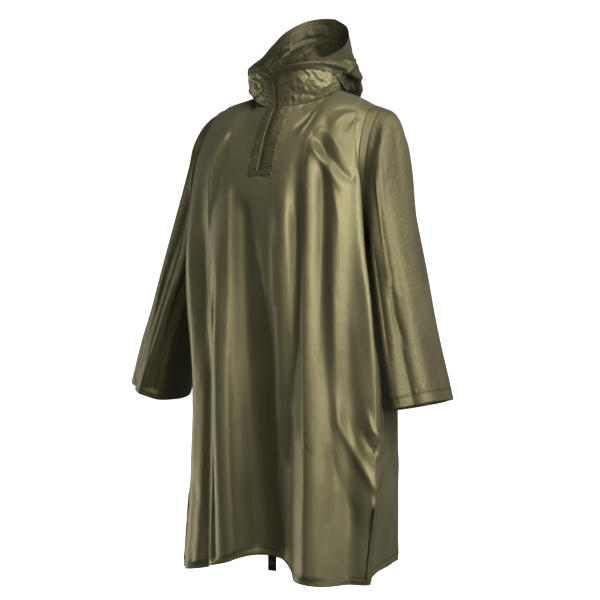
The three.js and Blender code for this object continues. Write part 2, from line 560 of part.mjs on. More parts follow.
// The collar stands on the neckline: its foot follows the panels' top edges.
function collarSide(side) {
  const spread = side < 0 ? -rightHalf[0].spread : 1;
  const stations = collarStations.map((row, i) => ({ at: i / (collarStations.length - 1), ...row }));
  const lines = ["base", "middle", "top"].map((name) => {
    const anchors = stations.map((row) => [row[name][0] * spread, row[name][1], row[name][2]]);
    const mirror = (p) => [-p[0], p[1], p[2]];
    const samples = curveThrough(anchors, mirror(anchors[1]), mirror(anchors[anchors.length - 2]));
    return { samples, lengths: runningLengths(samples) };
  });
  return { lines };
}

function collar(side) {
  const { lines } = collarSide(side);
  const count = 24;
  const rows = 6;
  const grid = [];
  for (let r = 0; r <= rows; r += 1) {
    const up = 1 - r / rows;
    grid.push(Array.from({ length: count + 1 }, (_, c) => {
      const at = c / count;
      const [base, middle, top] = lines.map(({ samples, lengths }) => {
        const whole = lengths[lengths.length - 1];
        return pointsAt(samples, lengths, [slotHalf + (whole - slotHalf - seamGap) * at])[0];
      });
      const p = base.map((b, k) => b * (1 - up) * (1 - 2 * up) + middle[k] * 4 * up * (1 - up) + top[k] * up * (2 * up - 1));
      const round = at * lines[0].lengths[lines[0].lengths.length - 1];
      const crumple = Math.sin(round / 5.2 + 3 * up) * Math.sin(round / 8.7 - 5 * up + side) * Math.sin(Math.PI * up);
      const out = Math.hypot(p[0], p[1]);
      const push = collarCrumple * crumple * smooth(0, 0.06, at) * (1 - smooth(0.5, 0.7, at));
      return [p[0] + (p[0] / out) * push, p[1] + (p[1] / out) * push, p[2] + seamGap];
    }));
  }
  const sense = side > 0 ? 1 : -1;
  return wall(grid, gridNormals(grid, sense, false), clothThickness, { sense });
}

// How far the collar's outside is from the hood's axis, for a direction round the neck and a height.
function collarReach(turn, height) {
  const { lines } = collarSide(1);
  const profile = [0, 0.25, 0.5, 0.75, 1].map((up) => {
    let found = null;
    for (let i = 0; i < 60 && !found; i += 1) {
      const [base, middle, top] = lines.map(({ samples, lengths }) => (
        pointsAt(samples, lengths, [(lengths[lengths.length - 1] * i) / 59])[0]
      ));
      const p = base.map((b, k) => b * (1 - up) * (1 - 2 * up) + middle[k] * 4 * up * (1 - up) + top[k] * up * (2 * up - 1));
      const azimuth = THREE.MathUtils.radToDeg(Math.atan2(p[0], hoodAxisY - p[1]));
      if (azimuth >= turn || i === 59) found = { height: p[2], reach: Math.hypot(p[0], hoodAxisY - p[1]) };
    }
    return found;
  });
  return readTable(profile, "height", "reach", height);
}

function hoodHalf(rows, side) {
  const spread = side < 0 ? -rightHalf[0].spread : 1;
  const across = 22;
  const up = 12;
  const grid = [];
  for (let r = 0; r <= up; r += 1) grid.push([]);
  for (let c = 0; c <= across; c += 1) {
    const turn = rows[0].turn + ((180 - rows[0].turn) * c) / across;
    const angle = radians(turn);
    const [baseReach, baseHeight] = readTable(rows, "turn", "base", turn);
    const [underReach, underHeight] = readTable(rows, "turn", "under", turn);
    const push = Math.max(0, ...[0, 0.3, 0.6, 0.9].map((t) => {
      const height = baseHeight + (underHeight - baseHeight) * t;
      return collarReach(turn, height) + hoodClearance - baseReach - (underReach - baseReach) * t;
    }));
    const profile = ["base", "under", "lip", "side", "rim"].map((name) => {
      const [reach, height] = readTable(rows, "turn", name, turn);
      return [reach + push, height, 0];
    });
    const samples = curveThrough(profile, beyond(profile[0], profile[1]), beyond(profile[4], profile[3]));
    const lengths = runningLengths(samples);
    const whole = lengths[lengths.length - 1];
    for (let r = 0; r <= up; r += 1) {
      const [[reach, height]] = pointsAt(samples, lengths, [whole * (1 - r / up)]);
      const x = reach * Math.sin(angle) * spread + (c === across ? (side * seamGap) / 2 : 0);
      grid[r].push([x, hoodAxisY - reach * Math.cos(angle), height]);
    }
  }
  return grid;
}

function hood(rows, side) {
  const grid = hoodHalf(rows, side);
  const sense = side > 0 ? 1 : -1;
  const normals = gridNormals(grid, sense, false);
  normals.forEach((line) => {
    const last = line[line.length - 1];
    last.x = 0;
    last.normalize();
  });
  return wall(grid, normals, clothThickness, { sense });
}

// The middle line of the front from the slot's foot to the collar's top, with the outward direction at each point.
function zipLine() {
  const line = [];
  for (let r = slotRows; r > 0; r -= 1) {
    const left = frontGrid[r][slotColumn];
    const right = frontGrid[r][slotColumn + 1];
    line.push({ point: between(left, right, 0.5), out: frontNormals[r][slotColumn].clone().setX(0).normalize() });
  }
  const { base, middle, top } = collarStations[0];
  [0.08, 0.3, 0.5, 0.7, 0.9, 1].forEach((up) => {
    const point = base.map((b, k) => b * (1 - up) * (1 - 2 * up) + middle[k] * 4 * up * (1 - up) + top[k] * up * (2 * up - 1));
    point[2] += seamGap;
    line.push({ point, out: new THREE.Vector3(0, -0.92, -0.38).normalize() });
  });
  line.forEach((place, i) => {
    const low = line[Math.max(0, i - 1)].point;
    const high = line[Math.min(line.length - 1, i + 1)].point;
    const up = vector(high).sub(vector(low)).normalize();
    place.out = new THREE.Vector3(up.x, up.y, up.z).cross(new THREE.Vector3(1, 0, 0)).normalize();
    if (place.out.y > 0) place.out.negate();
    place.up = up;
  });
  return line;
}

function zipTape(side) {
  const line = zipLine();
  line[0].point = moved(line[0].point, line[0].up, seamGap);
  const offsets = side > 0 ? [zipMiddleGap / 2, zipHalf] : [-zipHalf, -zipMiddleGap / 2];
  const grid = [...line].reverse().map(({ point, out }) => offsets.map((x) => {
    const sunk = moved(point, out, -zipSink);
    return [sunk[0] + x, sunk[1], sunk[2]];
  }));
  const normals = [...line].reverse().map(({ out }) => offsets.map(() => out));
  return wall(grid, normals, zipThickness, { sense: 1 });
}

function roundedBar(width, length, radius) {
  const shape = new THREE.Shape();
  const [w, r] = [width / 2, radius];
  shape.moveTo(-w + r, 0);
  shape.lineTo(w - r, 0).absarc(w - r, r, r, -Math.PI / 2, 0, false);
  shape.lineTo(w, length - r).absarc(w - r, length - r, r, 0, Math.PI / 2, false);
  shape.lineTo(-w + r, length).absarc(-w + r, length - r, r, Math.PI / 2, Math.PI, false);
  shape.lineTo(-w, r).absarc(-w + r, r, r, Math.PI, 1.5 * Math.PI, false);
  return shape;
}

// The slider's own axes: x across, y up the zip, z out of the cloth, from the middle of its lower edge.
function sliderFrame() {
  const line = zipLine();
  const top = line[line.length - 1];
  const foot = moved(top.point, top.up, -slider.belowTop - slider.length);
  const placed = new THREE.Group();
  const basis = new THREE.Matrix4().makeBasis(new THREE.Vector3(1, 0, 0), top.up, top.out);
  placed.applyMatrix4(basis.setPosition(...foot));
  return { placed, up: top.up };
}

const manifold = await Module();
manifold.setup();

// The slider with two ears and the pin between them that the pull turns on.
function sliderBody() {
  const { Manifold } = manifold;
  const { width, length, height, lift } = slider;
  const [w, nose] = [width / 2, width * 0.3];
  const outline = [[-nose, 0], [nose, 0], [w, 2.4], [w, length - 2], [nose, length], [-nose, length], [-w, length - 2], [-w, 2.4]];
  const body = Manifold.extrude([outline], height).translate([0, 0, lift]);
  const { radius, above, fromFoot, earInside, earWidth, earRadius } = hingePin;
  const top = lift + height;
  const ears = [-1, 1].flatMap((side) => {
    const x = side > 0 ? earInside : -earInside - earWidth;
    const round = Manifold.cylinder(earWidth, earRadius, earRadius, 16).rotate([0, 90, 0]).translate([x, fromFoot, top + above]);
    const stem = Manifold.cube([earWidth, earRadius * 2, above + 0.4]).translate([x, fromFoot - earRadius, top - 0.4]);
    return [round, stem];
  });
  const pin = Manifold.cylinder(2 * earInside + 0.4, radius, radius, 12, true).rotate([0, 90, 0]).translate([0, fromFoot, top + above]);
  const mesh = Manifold.union([body, ...ears, pin]).getMesh();
  const geometry = new THREE.BufferGeometry();
  geometry.setAttribute("position", new THREE.Float32BufferAttribute(mesh.vertProperties, 3));
  geometry.setIndex(Array.from(mesh.triVerts));
  return geometry;
}

// The pull hangs from its barrel: a side profile, with y up and x out, extruded across.
function pullTab() {
  const { width, length, thickness, barrelRadius: r, holeRadius } = pull;
  const half = thickness / 2;
  const start = Math.asin(half / r);
  const profile = new THREE.Shape();
  profile.moveTo(half, -r * Math.cos(start));
  profile.absarc(0, 0, r, -Math.PI / 2 + start, 1.5 * Math.PI - start, false);
  profile.lineTo(-half, -length + half);
  profile.absarc(0, -length + half, half, Math.PI, 2 * Math.PI, false);
  const hole = new THREE.Path();
  hole.absarc(0, 0, holeRadius, 0, 2 * Math.PI, true);
  profile.holes.push(hole);
  const geometry = new THREE.ExtrudeGeometry(profile, { depth: width, bevelEnabled: false, curveSegments: 10 });
  geometry.translate(0, 0, -width / 2);
  geometry.rotateY(-Math.PI / 2);
  return geometry;
}

function hemTabStrip(frontHemY, hemZ) {
  const shape = roundedBar(hemTab.width, hemTab.length, 1.5);
  const geometry = new THREE.ExtrudeGeometry(shape, { depth: hemTab.thickness, bevelEnabled: false, curveSegments: 4 });
  geometry.rotateX(Math.PI / 2);
  geometry.translate(hemTab.x, frontHemY + hemTab.behind + hemTab.thickness, hemZ - hemTab.showing);
  return geometry;
}

function hemTabStud(frontHemY, hemZ) {
  const { studRadius: r, studDeep: d } = hemTab;
  const profile = [[0, 0], [r, 0], [r, d * 0.5], [r * 0.8, d], [r * 0.45, d], [r * 0.4, d * 0.6], [0, d * 0.6]];
  const geometry = new THREE.LatheGeometry(profile.map(([x, y]) => new THREE.Vector2(x, y)), 20);
  geometry.rotateX(Math.PI);
  geometry.translate(hemTab.x, frontHemY + hemTab.behind - seamGap, hemZ - hemTab.showing * 0.55);
  return geometry;
}

const cloth = () => new THREE.MeshStandardMaterial({ color: 0x6b6747, roughness: 0.42, metalness: 0 });
const tape = () => new THREE.MeshStandardMaterial({ color: 0x2f2d26, roughness: 0.7, metalness: 0 });
const metal = () => new THREE.MeshStandardMaterial({ color: 0x4a4636, roughness: 0.35, metalness: 0.8 });
const webbing = () => new THREE.MeshStandardMaterial({ color: 0x0c0c0c, roughness: 0.8, metalness: 0 });

const poncho = new THREE.Group();
function add(name, geometry, material, parent = poncho) {
  const mesh = new THREE.Mesh(geometry, material);
  mesh.name = name;
  parent.add(mesh);
  return mesh;
}

add("front_panel", frontPanel(), cloth());
add("back_panel", backPanel(), cloth());
add("sleeve_left", sleeve(leftSleeveRings, 1), cloth());
add("sleeve_right", sleeve(rightSleeveRings, -1), cloth());
add("collar_left", collar(1), cloth());
add("collar_right", collar(-1), cloth());
add("hood_left", hood(leftHood, 1), cloth());
add("hood_right", hood(rightHood, -1), cloth());
add("zip_placket", placket(), cloth());
add("zip_tape_left", zipTape(1), tape());
add("zip_tape_right", zipTape(-1), tape());

const { placed: onSlider, up: zipUp } = sliderFrame();
poncho.add(onSlider);
add("zip_slider", sliderBody(), metal(), onSlider);
// The pull hangs plumb from its pin, so it is turned back by the lean of the zip.
const hinge = new THREE.Group();
hinge.position.set(0, hingePin.fromFoot, slider.lift + slider.height + hingePin.above);
hinge.rotation.x = -Math.atan2(-zipUp.y, zipUp.z);
onSlider.add(hinge);
add("zip_pull", pullTab(), metal(), hinge);

const hemRow = frontGrid[frontGrid.length - 1];
const hemMiddle = hemRow[slotColumn];
studDrops.forEach((drop, i) => {
  add(`press_stud_left_${i + 1}`, pressStud(drop, 1), metal());
  add(`press_stud_right_${i + 1}`, pressStud(drop, -1), metal());
});
add("hem_tab", hemTabStrip(hemMiddle[1], hemMiddle[2]), webbing());
add("hem_tab_stud", hemTabStud(hemMiddle[1], hemMiddle[2]), metal());

export default poncho;
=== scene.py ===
# Rain poncho: coated taffeta shells, sewing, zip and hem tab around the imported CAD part.
# Cloth is worked out in millimetres, as it was cut, and turned into metres when a mesh is made.
import json
import math

import bpy
import numpy as np
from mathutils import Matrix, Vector

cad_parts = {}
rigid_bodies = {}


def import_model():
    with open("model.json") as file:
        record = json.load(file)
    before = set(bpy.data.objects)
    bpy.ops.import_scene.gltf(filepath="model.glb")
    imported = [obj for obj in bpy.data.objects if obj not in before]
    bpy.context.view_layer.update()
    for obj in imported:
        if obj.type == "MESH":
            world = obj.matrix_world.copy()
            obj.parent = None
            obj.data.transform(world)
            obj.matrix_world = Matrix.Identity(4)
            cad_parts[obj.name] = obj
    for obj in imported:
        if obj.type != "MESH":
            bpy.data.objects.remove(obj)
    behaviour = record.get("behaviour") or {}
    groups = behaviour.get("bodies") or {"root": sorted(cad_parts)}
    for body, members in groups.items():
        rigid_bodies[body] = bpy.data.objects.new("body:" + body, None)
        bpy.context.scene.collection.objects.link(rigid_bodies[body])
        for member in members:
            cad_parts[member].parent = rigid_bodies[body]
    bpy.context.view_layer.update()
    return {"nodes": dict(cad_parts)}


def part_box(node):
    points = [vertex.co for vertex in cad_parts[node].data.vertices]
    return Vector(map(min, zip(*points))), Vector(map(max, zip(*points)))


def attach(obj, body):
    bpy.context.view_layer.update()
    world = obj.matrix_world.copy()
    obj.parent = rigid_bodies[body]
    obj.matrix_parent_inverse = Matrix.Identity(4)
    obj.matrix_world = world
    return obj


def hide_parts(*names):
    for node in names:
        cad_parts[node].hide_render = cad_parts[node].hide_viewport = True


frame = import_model()
mm = 0.001
random = np.random.default_rng(41)
print("frame loaded")

# Half sections of the panels, wearer's left: down is measured along the cloth from the shoulder seam.
frontSections = {
    "down": [0, 50, 120, 200, 340, 480, 620, 780, 930, 1090],
    "centre": [(0, -96, -43), (0, -123, -80), (0, -149, -135), (0, -169, -199), (0, -177, -337),
               (0, -176, -474), (0, -172, -610), (0, -166, -766), (0, -158, -912), (0, -148, -1066)],
    "neck": [(72, -57, -27), (76, -96, -66), (76, -140, -126), (74, -165, -196), (68, -175, -336),
             (66, -178, -474), (66, -177, -610), (66, -174, -766), (64, -168, -912), (62, -160, -1066)],
    "chest": [(101, 0, 0), (110, -54, -28), (119, -112, -88), (124, -150, -174), (130, -164, -336),
              (134, -170, -474),
              (136, -174, -610), (136, -178, -766), (134, -182, -912), (132, -184, -1066)],
    "corner": [(150, 4, -18), (164, -40, -38), (184, -86, -94), (202, -112, -176), (222, -126, -336),
               (243, -132, -474),
               (250, -135, -610), (252, -135, -766), (245, -136, -912), (230, -138, -1066)],
}
backSections = {
    "down": [0, 50, 120, 200, 340, 480, 620, 780, 930, 1090],
    "centre": [(0, 78, 10), (0, 106, -32), (0, 127, -98), (0, 138, -178), (0, 143, -330), (0, 146, -466),
               (0, 148, -602), (0, 150, -756), (0, 150, -900), (0, 148, -1050)],
    "neck": [(70, 56, 7), (74, 94, -32), (74, 121, -96), (72, 134, -177), (68, 141, -330), (66, 145, -466),
             (66, 147, -602), (66, 149, -756), (66, 149, -900), (66, 147, -1050)],
    "chest": [(101, 0, 0), (109, 52, -26), (116, 100, -84), (119, 124, -170), (122, 137, -332),
              (122, 141, -468), (122, 143, -604), (122, 145, -758), (122, 145, -902), (124, 143, -1050)],
    "corner": [(150, 4, -18), (163, 44, -44), (177, 84, -98), (185, 104, -178), (190, 112, -334),
               (185, 114, -472), (182, 115, -608), (180, 117, -762), (179, 117, -906), (178, 115, -1052)],
}
sideLine = {
    "down": [340, 420, 500, 580, 660, 780, 885, 930, 1090],
    "tuck": [(182, -74, -336), (196, -92, -414), (226, -110, -492), (252, -117, -570), (259, -118, -648),
             (261, -117, -765), (257, -118, -868), (254, -118, -911), (239, -119, -1064)],
    "seam": [(186, -4, -335), (184, -24, -414), (206, -66, -492), (244, -96, -570), (257, -95, -648),
             (261, -93, -765), (257, -93, -868), (254, -93, -911), (239, -95, -1064)],
    "side": [(182, 48, -335), (183, 40, -412), (184, 26, -488), (198, 14, -566), (214, 10, -644),
             (224, 10, -762), (224, 10, -863), (223, 10, -906), (212, 10, -1054)],
}
sideLine["openTuck"] = sideLine["tuck"][:-2] + [(255, -132, -911), (239, -134, -1066)]
sideLine["openSeam"] = sideLine["seam"][:-2] + [(259, -118, -911), (243, -120, -1066)]
rightHalf = {  # the wearer's right half against the left
    "down": [0, 120, 340, 480, 620, 720, 800, 930, 1090],
    "spread": [1.03, 1.03, 1, 0.96, 0.91, 0.9, 0.91, 0.94, 1.01],
    "rise": [14, 12, 3, 0, 0, 0, 0, 0, 0],
    "setBack": [0, 0, 4, 26, 40, 44, 44, 40, 30],
}
frontHemLift = {"across": [-330, -210, -120, -40, 40, 110, 180, 330], "lift": [-4, 0, 20, 40, 29, 8, 0, 0]}
backHemLift = {"across": [-360, -260, -120, 0, 120, 260, 360], "lift": [8, 0, 4, 14, 4, 0, 8]}
panelCut = {
    "underarmDrop": 340, "hemDrop": 1090, "lapFrom": 700, "lapDepth": 3.9, "hemLiftReach": 420,
    "hemBand": 17, "hemBandRise": 0.6, "clothThickness": 0.8, "studDrops": (760, 822, 885), "studGrip": 15,
    "gape": 3.2, "slitTop": 690, "sideSewing": 9, "foldToSeam": 46, "creaseToSeam": 16,
}
armhole = {
    "topX": 195, "lowX": 186, "topY": 4, "lowY": -4, "topZ": -41, "lowZ": -335, "reachFront": 64,
    "reachBack": 68, "fuller": 13,
}
zipCut = {
    "slotHalf": 8, "placketHalf": 30, "placketMiddle": 19, "slotBottom": 186, "placketBottom": 198,
    "tapeHalf": 7.6,
    "tapeThickness": 1.0, "sink": 0.8, "placketRise": 1.3, "placketThickness": 0.8, "pucker": 1.5,
    "puckerPitch": 8.4, "toothPitch": 1.5, "toothSize": (3.4, 0.42, 0.7), "stitchLift": 0.2,
}

# Large folds, the same as the solids': across is from the middle of the panel, wearer's left positive.
foldColumns = ("topAcross", "hemAcross", "start", "full", "fade", "end", "width", "height")
frontFolds = [
    (-190, -212, 90, 420, 1200, 1300, 24, 15), (-150, -150, 260, 620, 1200, 1300, 20, -17),
    (-112, -78, 130, 640, 1200, 1300, 30, 19), (-40, 6, 230, 1000, 1200, 1300, 52, -34),
    (54, 62, 150, 330, 520, 860, 22, 11), (88, 92, 110, 280, 620, 940, 13, -10),
    (112, 152, 150, 980, 1200, 1300, 46, 34), (152, 150, 60, 200, 360, 700, 14, -10),
    (182, 196, 90, 260, 480, 820, 22, 11), (222, 222, 420, 760, 1200, 1300, 22, -11),
]
backFolds = [
    (-196, -226, 120, 560, 1200, 1300, 26, 17), (-128, -160, 160, 800, 1200, 1300, 26, -16),
    (-76, -98, 110, 720, 1200, 1300, 30, 22), (-22, -24, 200, 900, 1200, 1300, 34, -20),
    (40, 52, 120, 700, 1200, 1300, 28, 21), (92, 116, 180, 860, 1200, 1300, 24, -14),
    (148, 176, 130, 620, 1200, 1300, 26, 11),
]


def smooth(start, end, at):
    t = np.clip((np.asarray(at, float) - start) / (end - start), 0, 1)
    return t * t * (3 - 2 * t)


def readTable(table, column, at):
    # a named column at places between the rows, on a smooth curve through them
    places = np.array(table[next(iter(table))], float)
    values = np.array(table[column], float)
    isPlain = values.ndim == 1
    values = values[:, None] if isPlain else values
    at = np.atleast_1d(np.asarray(at, float))
    shape = at.shape
    at = at.ravel()
    count = len(places)
    before, after = np.maximum(0, np.arange(count) - 1), np.minimum(count - 1, np.arange(count) + 1)
    slopes = (values[after] - values[before]) / (places[after] - places[before])[:, None]
    i = np.clip(np.searchsorted(places, at) - 1, 0, count - 2)
    span = (places[i + 1] - places[i])[:, None]
    t = np.clip((at - places[i])[:, None] / span, 0, 1)
    rise, slopeA, slopeB = values[i + 1] - values[i], slopes[i] * span, slopes[i + 1] * span
    read = values[i] + t * (slopeA + t * (3 * rise - 2 * slopeA - slopeB + t * (slopeA + slopeB - 2 * rise)))
    return read[:, 0].reshape(shape) if isPlain else read.reshape(shape + (values.shape[1],))


def curveThrough(anchors, before, after, perSpan=28):
    # anchors: rows x points x coordinates
    points = np.concatenate([before[:, None], anchors, after[:, None]], axis=1)
    t = (np.arange(perSpan) / perSpan)[None, None, :, None]
    spans = points.shape[1] - 3
    p0, p1, p2, p3 = (points[:, k:k + spans, None, :] for k in range(4))
    bend, twist = 2 * p0 - 5 * p1 + 4 * p2 - p3, 3 * p1 - p0 - 3 * p2 + p3
    samples = 0.5 * (2 * p1 + t * (p2 - p0 + t * (bend + t * twist)))
    samples = samples.reshape(len(points), -1, points.shape[2])
    samples = np.concatenate([samples, anchors[:, -1:]], axis=1)
    steps = np.linalg.norm(np.diff(samples, axis=1), axis=2)
    lengths = np.concatenate([np.zeros((len(samples), 1)), np.cumsum(steps, axis=1)], axis=1)
    return samples, lengths


def pointsAt(samples, lengths, wanted):
    return np.stack([
        np.stack([np.interp(w, l, s[:, k]) for k in range(s.shape[1])], axis=1)
        for s, l, w in zip(samples, lengths, wanted)
    ])


def gridNormals(grid, sense=1, isRing=False):
    if isRing:
        acrossStep = np.roll(grid, -1, 1) - np.roll(grid, 1, 1)
    else:
        wide = np.concatenate([grid[:, :1], grid, grid[:, -1:]], 1)
        acrossStep = wide[:, 2:] - wide[:, :-2]
    tall = np.concatenate([grid[:1], grid, grid[-1:]], 0)
    normals = np.cross(tall[2:] - tall[:-2], acrossStep) * sense
    return normals / np.maximum(1e-9, np.linalg.norm(normals, axis=2, keepdims=True))


def crease(path, width, height, taper=(0.3, 0.3), sharp=1.6):
    return {"path": path, "width": width, "height": height, "taper": taper, "sharp": sharp}


def creaseHeight(creases, across, down):
    # each crease is a soft ridge or trough along a path, with its own width on either side and its own tapers
    total = np.zeros_like(across, dtype=float)
    for mark in creases:
        path = np.array(mark["path"], float)
        widths = mark["width"] if hasattr(mark["width"], "__len__") else (mark["width"],) * 2
        room = 2.6 * max(widths)
        near = ((across > path[:, 0].min() - room) & (across < path[:, 0].max() + room)
                & (down > path[:, 1].min() - room) & (down < path[:, 1].max() + room))
        if not near.any():
            continue
        s, d = across[near], down[near]
        steps = np.diff(path, axis=0)
        lengths = np.linalg.norm(steps, axis=1)
        best = np.full(s.shape, 1e9)
        side, place = np.zeros_like(s), np.zeros_like(s)
        run = 0.0
        for start, step, length in zip(path[:-1], steps, lengths):
            unit = step / length
            t = np.clip(((s - start[0]) * unit[0] + (d - start[1]) * unit[1]) / length, 0, 1)
            offX, offY = s - start[0] - t * step[0], d - start[1] - t * step[1]
            far = np.hypot(offX, offY)
            closer = far < best
            best = np.where(closer, far, best)
            side = np.where(closer, np.sign(offX * unit[1] - offY * unit[0]), side)
            place = np.where(closer, run + t * length, place)
            run += length
        place = place / run
        taperIn, taperOut = mark["taper"]
        grown = smooth(0, max(taperIn, 1e-3), place) * (1 - smooth(1 - max(taperOut, 1e-3), 1, place))
        width = np.where(side > 0, widths[0], widths[1])
        total[near] += mark["height"] * grown * np.exp(-((best / width) ** mark["sharp"]))
    return total


def scatterCreases(count, acrossRange, downRange, lean, length, width, height):
    # small creases with no pattern: lean is their mean direction from straight down, and its spread
    creases = []
    for _ in range(count):
        s, d = random.uniform(*acrossRange), random.uniform(*downRange)
        turn = math.radians(random.normal(*lean))
        reach = random.uniform(*length) / 2
        bend = random.uniform(-0.12, 0.12) * reach
        alongX, alongY = math.sin(turn), math.cos(turn)
        creases.append({
            "path": [(s - alongX * reach, d - alongY * reach), (s + alongY * bend, d - alongX * bend),
                     (s + alongX * reach, d + alongY * reach)],
            "width": (random.uniform(*width), random.uniform(*width)),
            "height": random.uniform(*height) * random.choice([-1, 1]), "sharp": 1.35,
            "taper": (0.45, 0.45),
        })
    return creases


def seamPuckers(places, reach, width, height, taper):
    # short creases that leave a seam at each place: (across, down, across run, down run)
    creases = []
    for s, d, runS, runD in places:
        size = random.uniform(*reach)
        endS, endD = s + runS * size, d + runD * size
        bend = random.uniform(-0.15, 0.15) * size
        creases.append({
            "path": [(s, d), ((s + endS) / 2 + bend * runD, (d + endD) / 2 - bend * runS), (endS, endD)],
            "width": (random.uniform(*width), random.uniform(*width)), "sharp": 1.35, "taper": taper,
            "height": random.uniform(*height) * random.choice([-1, 1]),
        })
    return creases


def softNoise(u, v, cell):
    lattice = random.uniform(-1, 1, (64, 64))
    x, y = u / cell + 32, v / cell + 32
    i, j = np.floor(x).astype(int), np.floor(y).astype(int)
    fx, fy = smooth(0, 1, x - i), smooth(0, 1, y - j)
    read = lambda a, b: lattice[a % 64, b % 64]
    return ((read(i, j) * (1 - fx) + read(i + 1, j) * fx) * (1 - fy)
            + (read(i, j + 1) * (1 - fx) + read(i + 1, j + 1) * fx) * fy)


# Rows and columns of the panels.
armRows = np.linspace(0, panelCut["underarmDrop"], 77)
levels = np.concatenate([armRows, np.linspace(panelCut["underarmDrop"], 1068, 146)[1:],
                         np.linspace(1068, 1090, 12)[1:]])
# places of the columns, counted in the solids' own columns from the slot's edge (0) to the seam (18)
columnPlaces = np.concatenate([np.linspace(-1, 0, 3), np.linspace(0, 2, 8)[1:], np.linspace(2, 8, 29)[1:],
                               np.linspace(8, 12, 31)[1:], np.linspace(12, 15, 13)[1:],
                               np.linspace(15, 18, 13)[1:]])
columnKnots = np.array([-1, 0, 1, 2, 8, 12, 15, 18], float)


def armholePoint(down, isFront):
    angle = np.pi * np.asarray(down, float) / panelCut["underarmDrop"]
    share = (1 - np.cos(angle)) / 2
    reach = -armhole["reachFront"] if isFront else armhole["reachBack"]
    fuller = armhole["fuller"] * smooth(8, 60, down) * (1 - smooth(130, 220, down)) if isFront else 0
    return np.stack([
        armhole["topX"] + (armhole["lowX"] - armhole["topX"]) * share,
        armhole["topY"] + (armhole["lowY"] - armhole["topY"]) * share + reach * np.sin(angle) - fuller,
        armhole["topZ"] + (armhole["lowZ"] - armhole["topZ"]) * share,
    ], axis=-1)


def onSide(points, side, down):
    if side > 0:
        return points
    spread, rise, setBack = (readTable(rightHalf, name, down) for name in ("spread", "rise", "setBack"))
    x, y, z = points[..., 0], points[..., 1], points[..., 2]
    return np.stack([-x * spread, y + setBack * smooth(170, 262, x), z + rise * smooth(103, 200, x)],
                    axis=-1)


def halfPanel(sections, isFront, side, isOpen):
    anchors = [readTable(sections, name, levels) for name in ("centre", "neck", "chest", "corner")]
    drop = panelCut["underarmDrop"]
    onArm = levels <= drop
    seamLine = readTable(sideLine, "openSeam" if isOpen else "seam", levels)
    seam = np.where(onArm[:, None], armholePoint(levels, isFront), seamLine)
    turnName = ("openTuck" if isOpen else "tuck") if isFront else "side"
    lowTurn = readTable(sideLine, turnName, np.maximum(levels, drop))
    highTurn = (anchors[3] + seam) / 2 - np.array([6, 0, 0])
    share = np.where(onArm, smooth(drop * 0.3, drop, levels), 1)[:, None]
    turn = highTurn + (lowTurn - highTurn) * share
    turn[onArm, 2] = ((anchors[3] + seam)[:, 2] / 2)[onArm]
    placed = np.stack([onSide(p, side, levels) for p in (*anchors, turn, seam)], axis=1)
    mirrored = placed[:, 1] * np.array([-1, 1, 1])
    samples, lengths = curveThrough(placed, mirrored, 2 * placed[:, -1] - placed[:, -2])
    ends = lengths[:, ::28]
    near = np.array([0, zipCut["slotHalf"], zipCut["placketMiddle"], zipCut["placketHalf"]], float)
    wanted = np.stack([np.interp(columnPlaces, columnKnots, np.concatenate([near, e[2:6]])) for e in ends])
    points = pointsAt(samples, lengths, wanted)
    # both panels share one line at the shoulder seam
    three = placed[:1, [2, 3, 5]]
    line, lineLengths = curveThrough(three, 2 * three[:, 0] - three[:, 1], 2 * three[:, 2] - three[:, 1])
    beside = columnPlaces >= 8
    share = (columnPlaces[beside] - 8) / 10
    shoulder = pointsAt(line, lineLengths, [lineLengths[0, -1] * share])[0]
    rows = np.nonzero(levels < 30)[0]
    mix = (1 - levels[rows] / 30)[:, None, None]
    moved = points[rows][:, beside]
    points[np.ix_(rows, np.nonzero(beside)[0])] = moved + (shoulder[None] - points[0][beside][None]) * mix
    return points, wanted * side, ends[:, -1:] - wanted


def panelGrid(sections, folds, creases, hemLift, isFront, isOpen=False):
    left, right = (halfPanel(sections, isFront, side, isOpen) for side in (1, -1))
    flat, across, toSeam = (np.concatenate([r[:, ::-1], l[:, 1:]], axis=1) for l, r in zip(left, right))
    down = np.repeat(levels[:, None], across.shape[1], 1)
    normals = gridNormals(flat, 1 if isFront else -1)
    height = np.zeros_like(across)
    for row in folds:
        fold = dict(zip(foldColumns, row))
        middle = fold["topAcross"] + (fold["hemAcross"] - fold["topAcross"]) * down / panelCut["hemDrop"]
        grown = smooth(fold["start"], fold["full"], down) * (1 - smooth(fold["fade"], fold["end"], down))
        height += fold["height"] * grown * np.exp(-(((across - middle) / fold["width"]) ** 2))
    height *= smooth(0, panelCut["foldToSeam"], toSeam)
    small = creaseHeight(creases, across, down)
    height += small * smooth(0, panelCut["creaseToSeam"], toSeam) * smooth(0, 10, down)
    if isOpen:
        pinned = sum(np.exp(-(((down - drop) / panelCut["studGrip"]) ** 2)) for drop in panelCut["studDrops"])
        gape = panelCut["gape"] * smooth(700, 730, down) * (1 - np.clip(pinned, 0, 1))
        height += gape * (1 - smooth(0, 15, toSeam))
    band = panelCut["hemDrop"] - panelCut["hemBand"]
    height += panelCut["hemBandRise"] * smooth(band - 1.5, band + 0.5, down)
    grid = flat + normals * height[..., None]
    lift = readTable(hemLift, "lift", across)
    start = panelCut["hemDrop"] - panelCut["hemLiftReach"]
    grid[..., 2] += lift * smooth(start, panelCut["hemDrop"], down) ** 1.5
    return grid, across, down


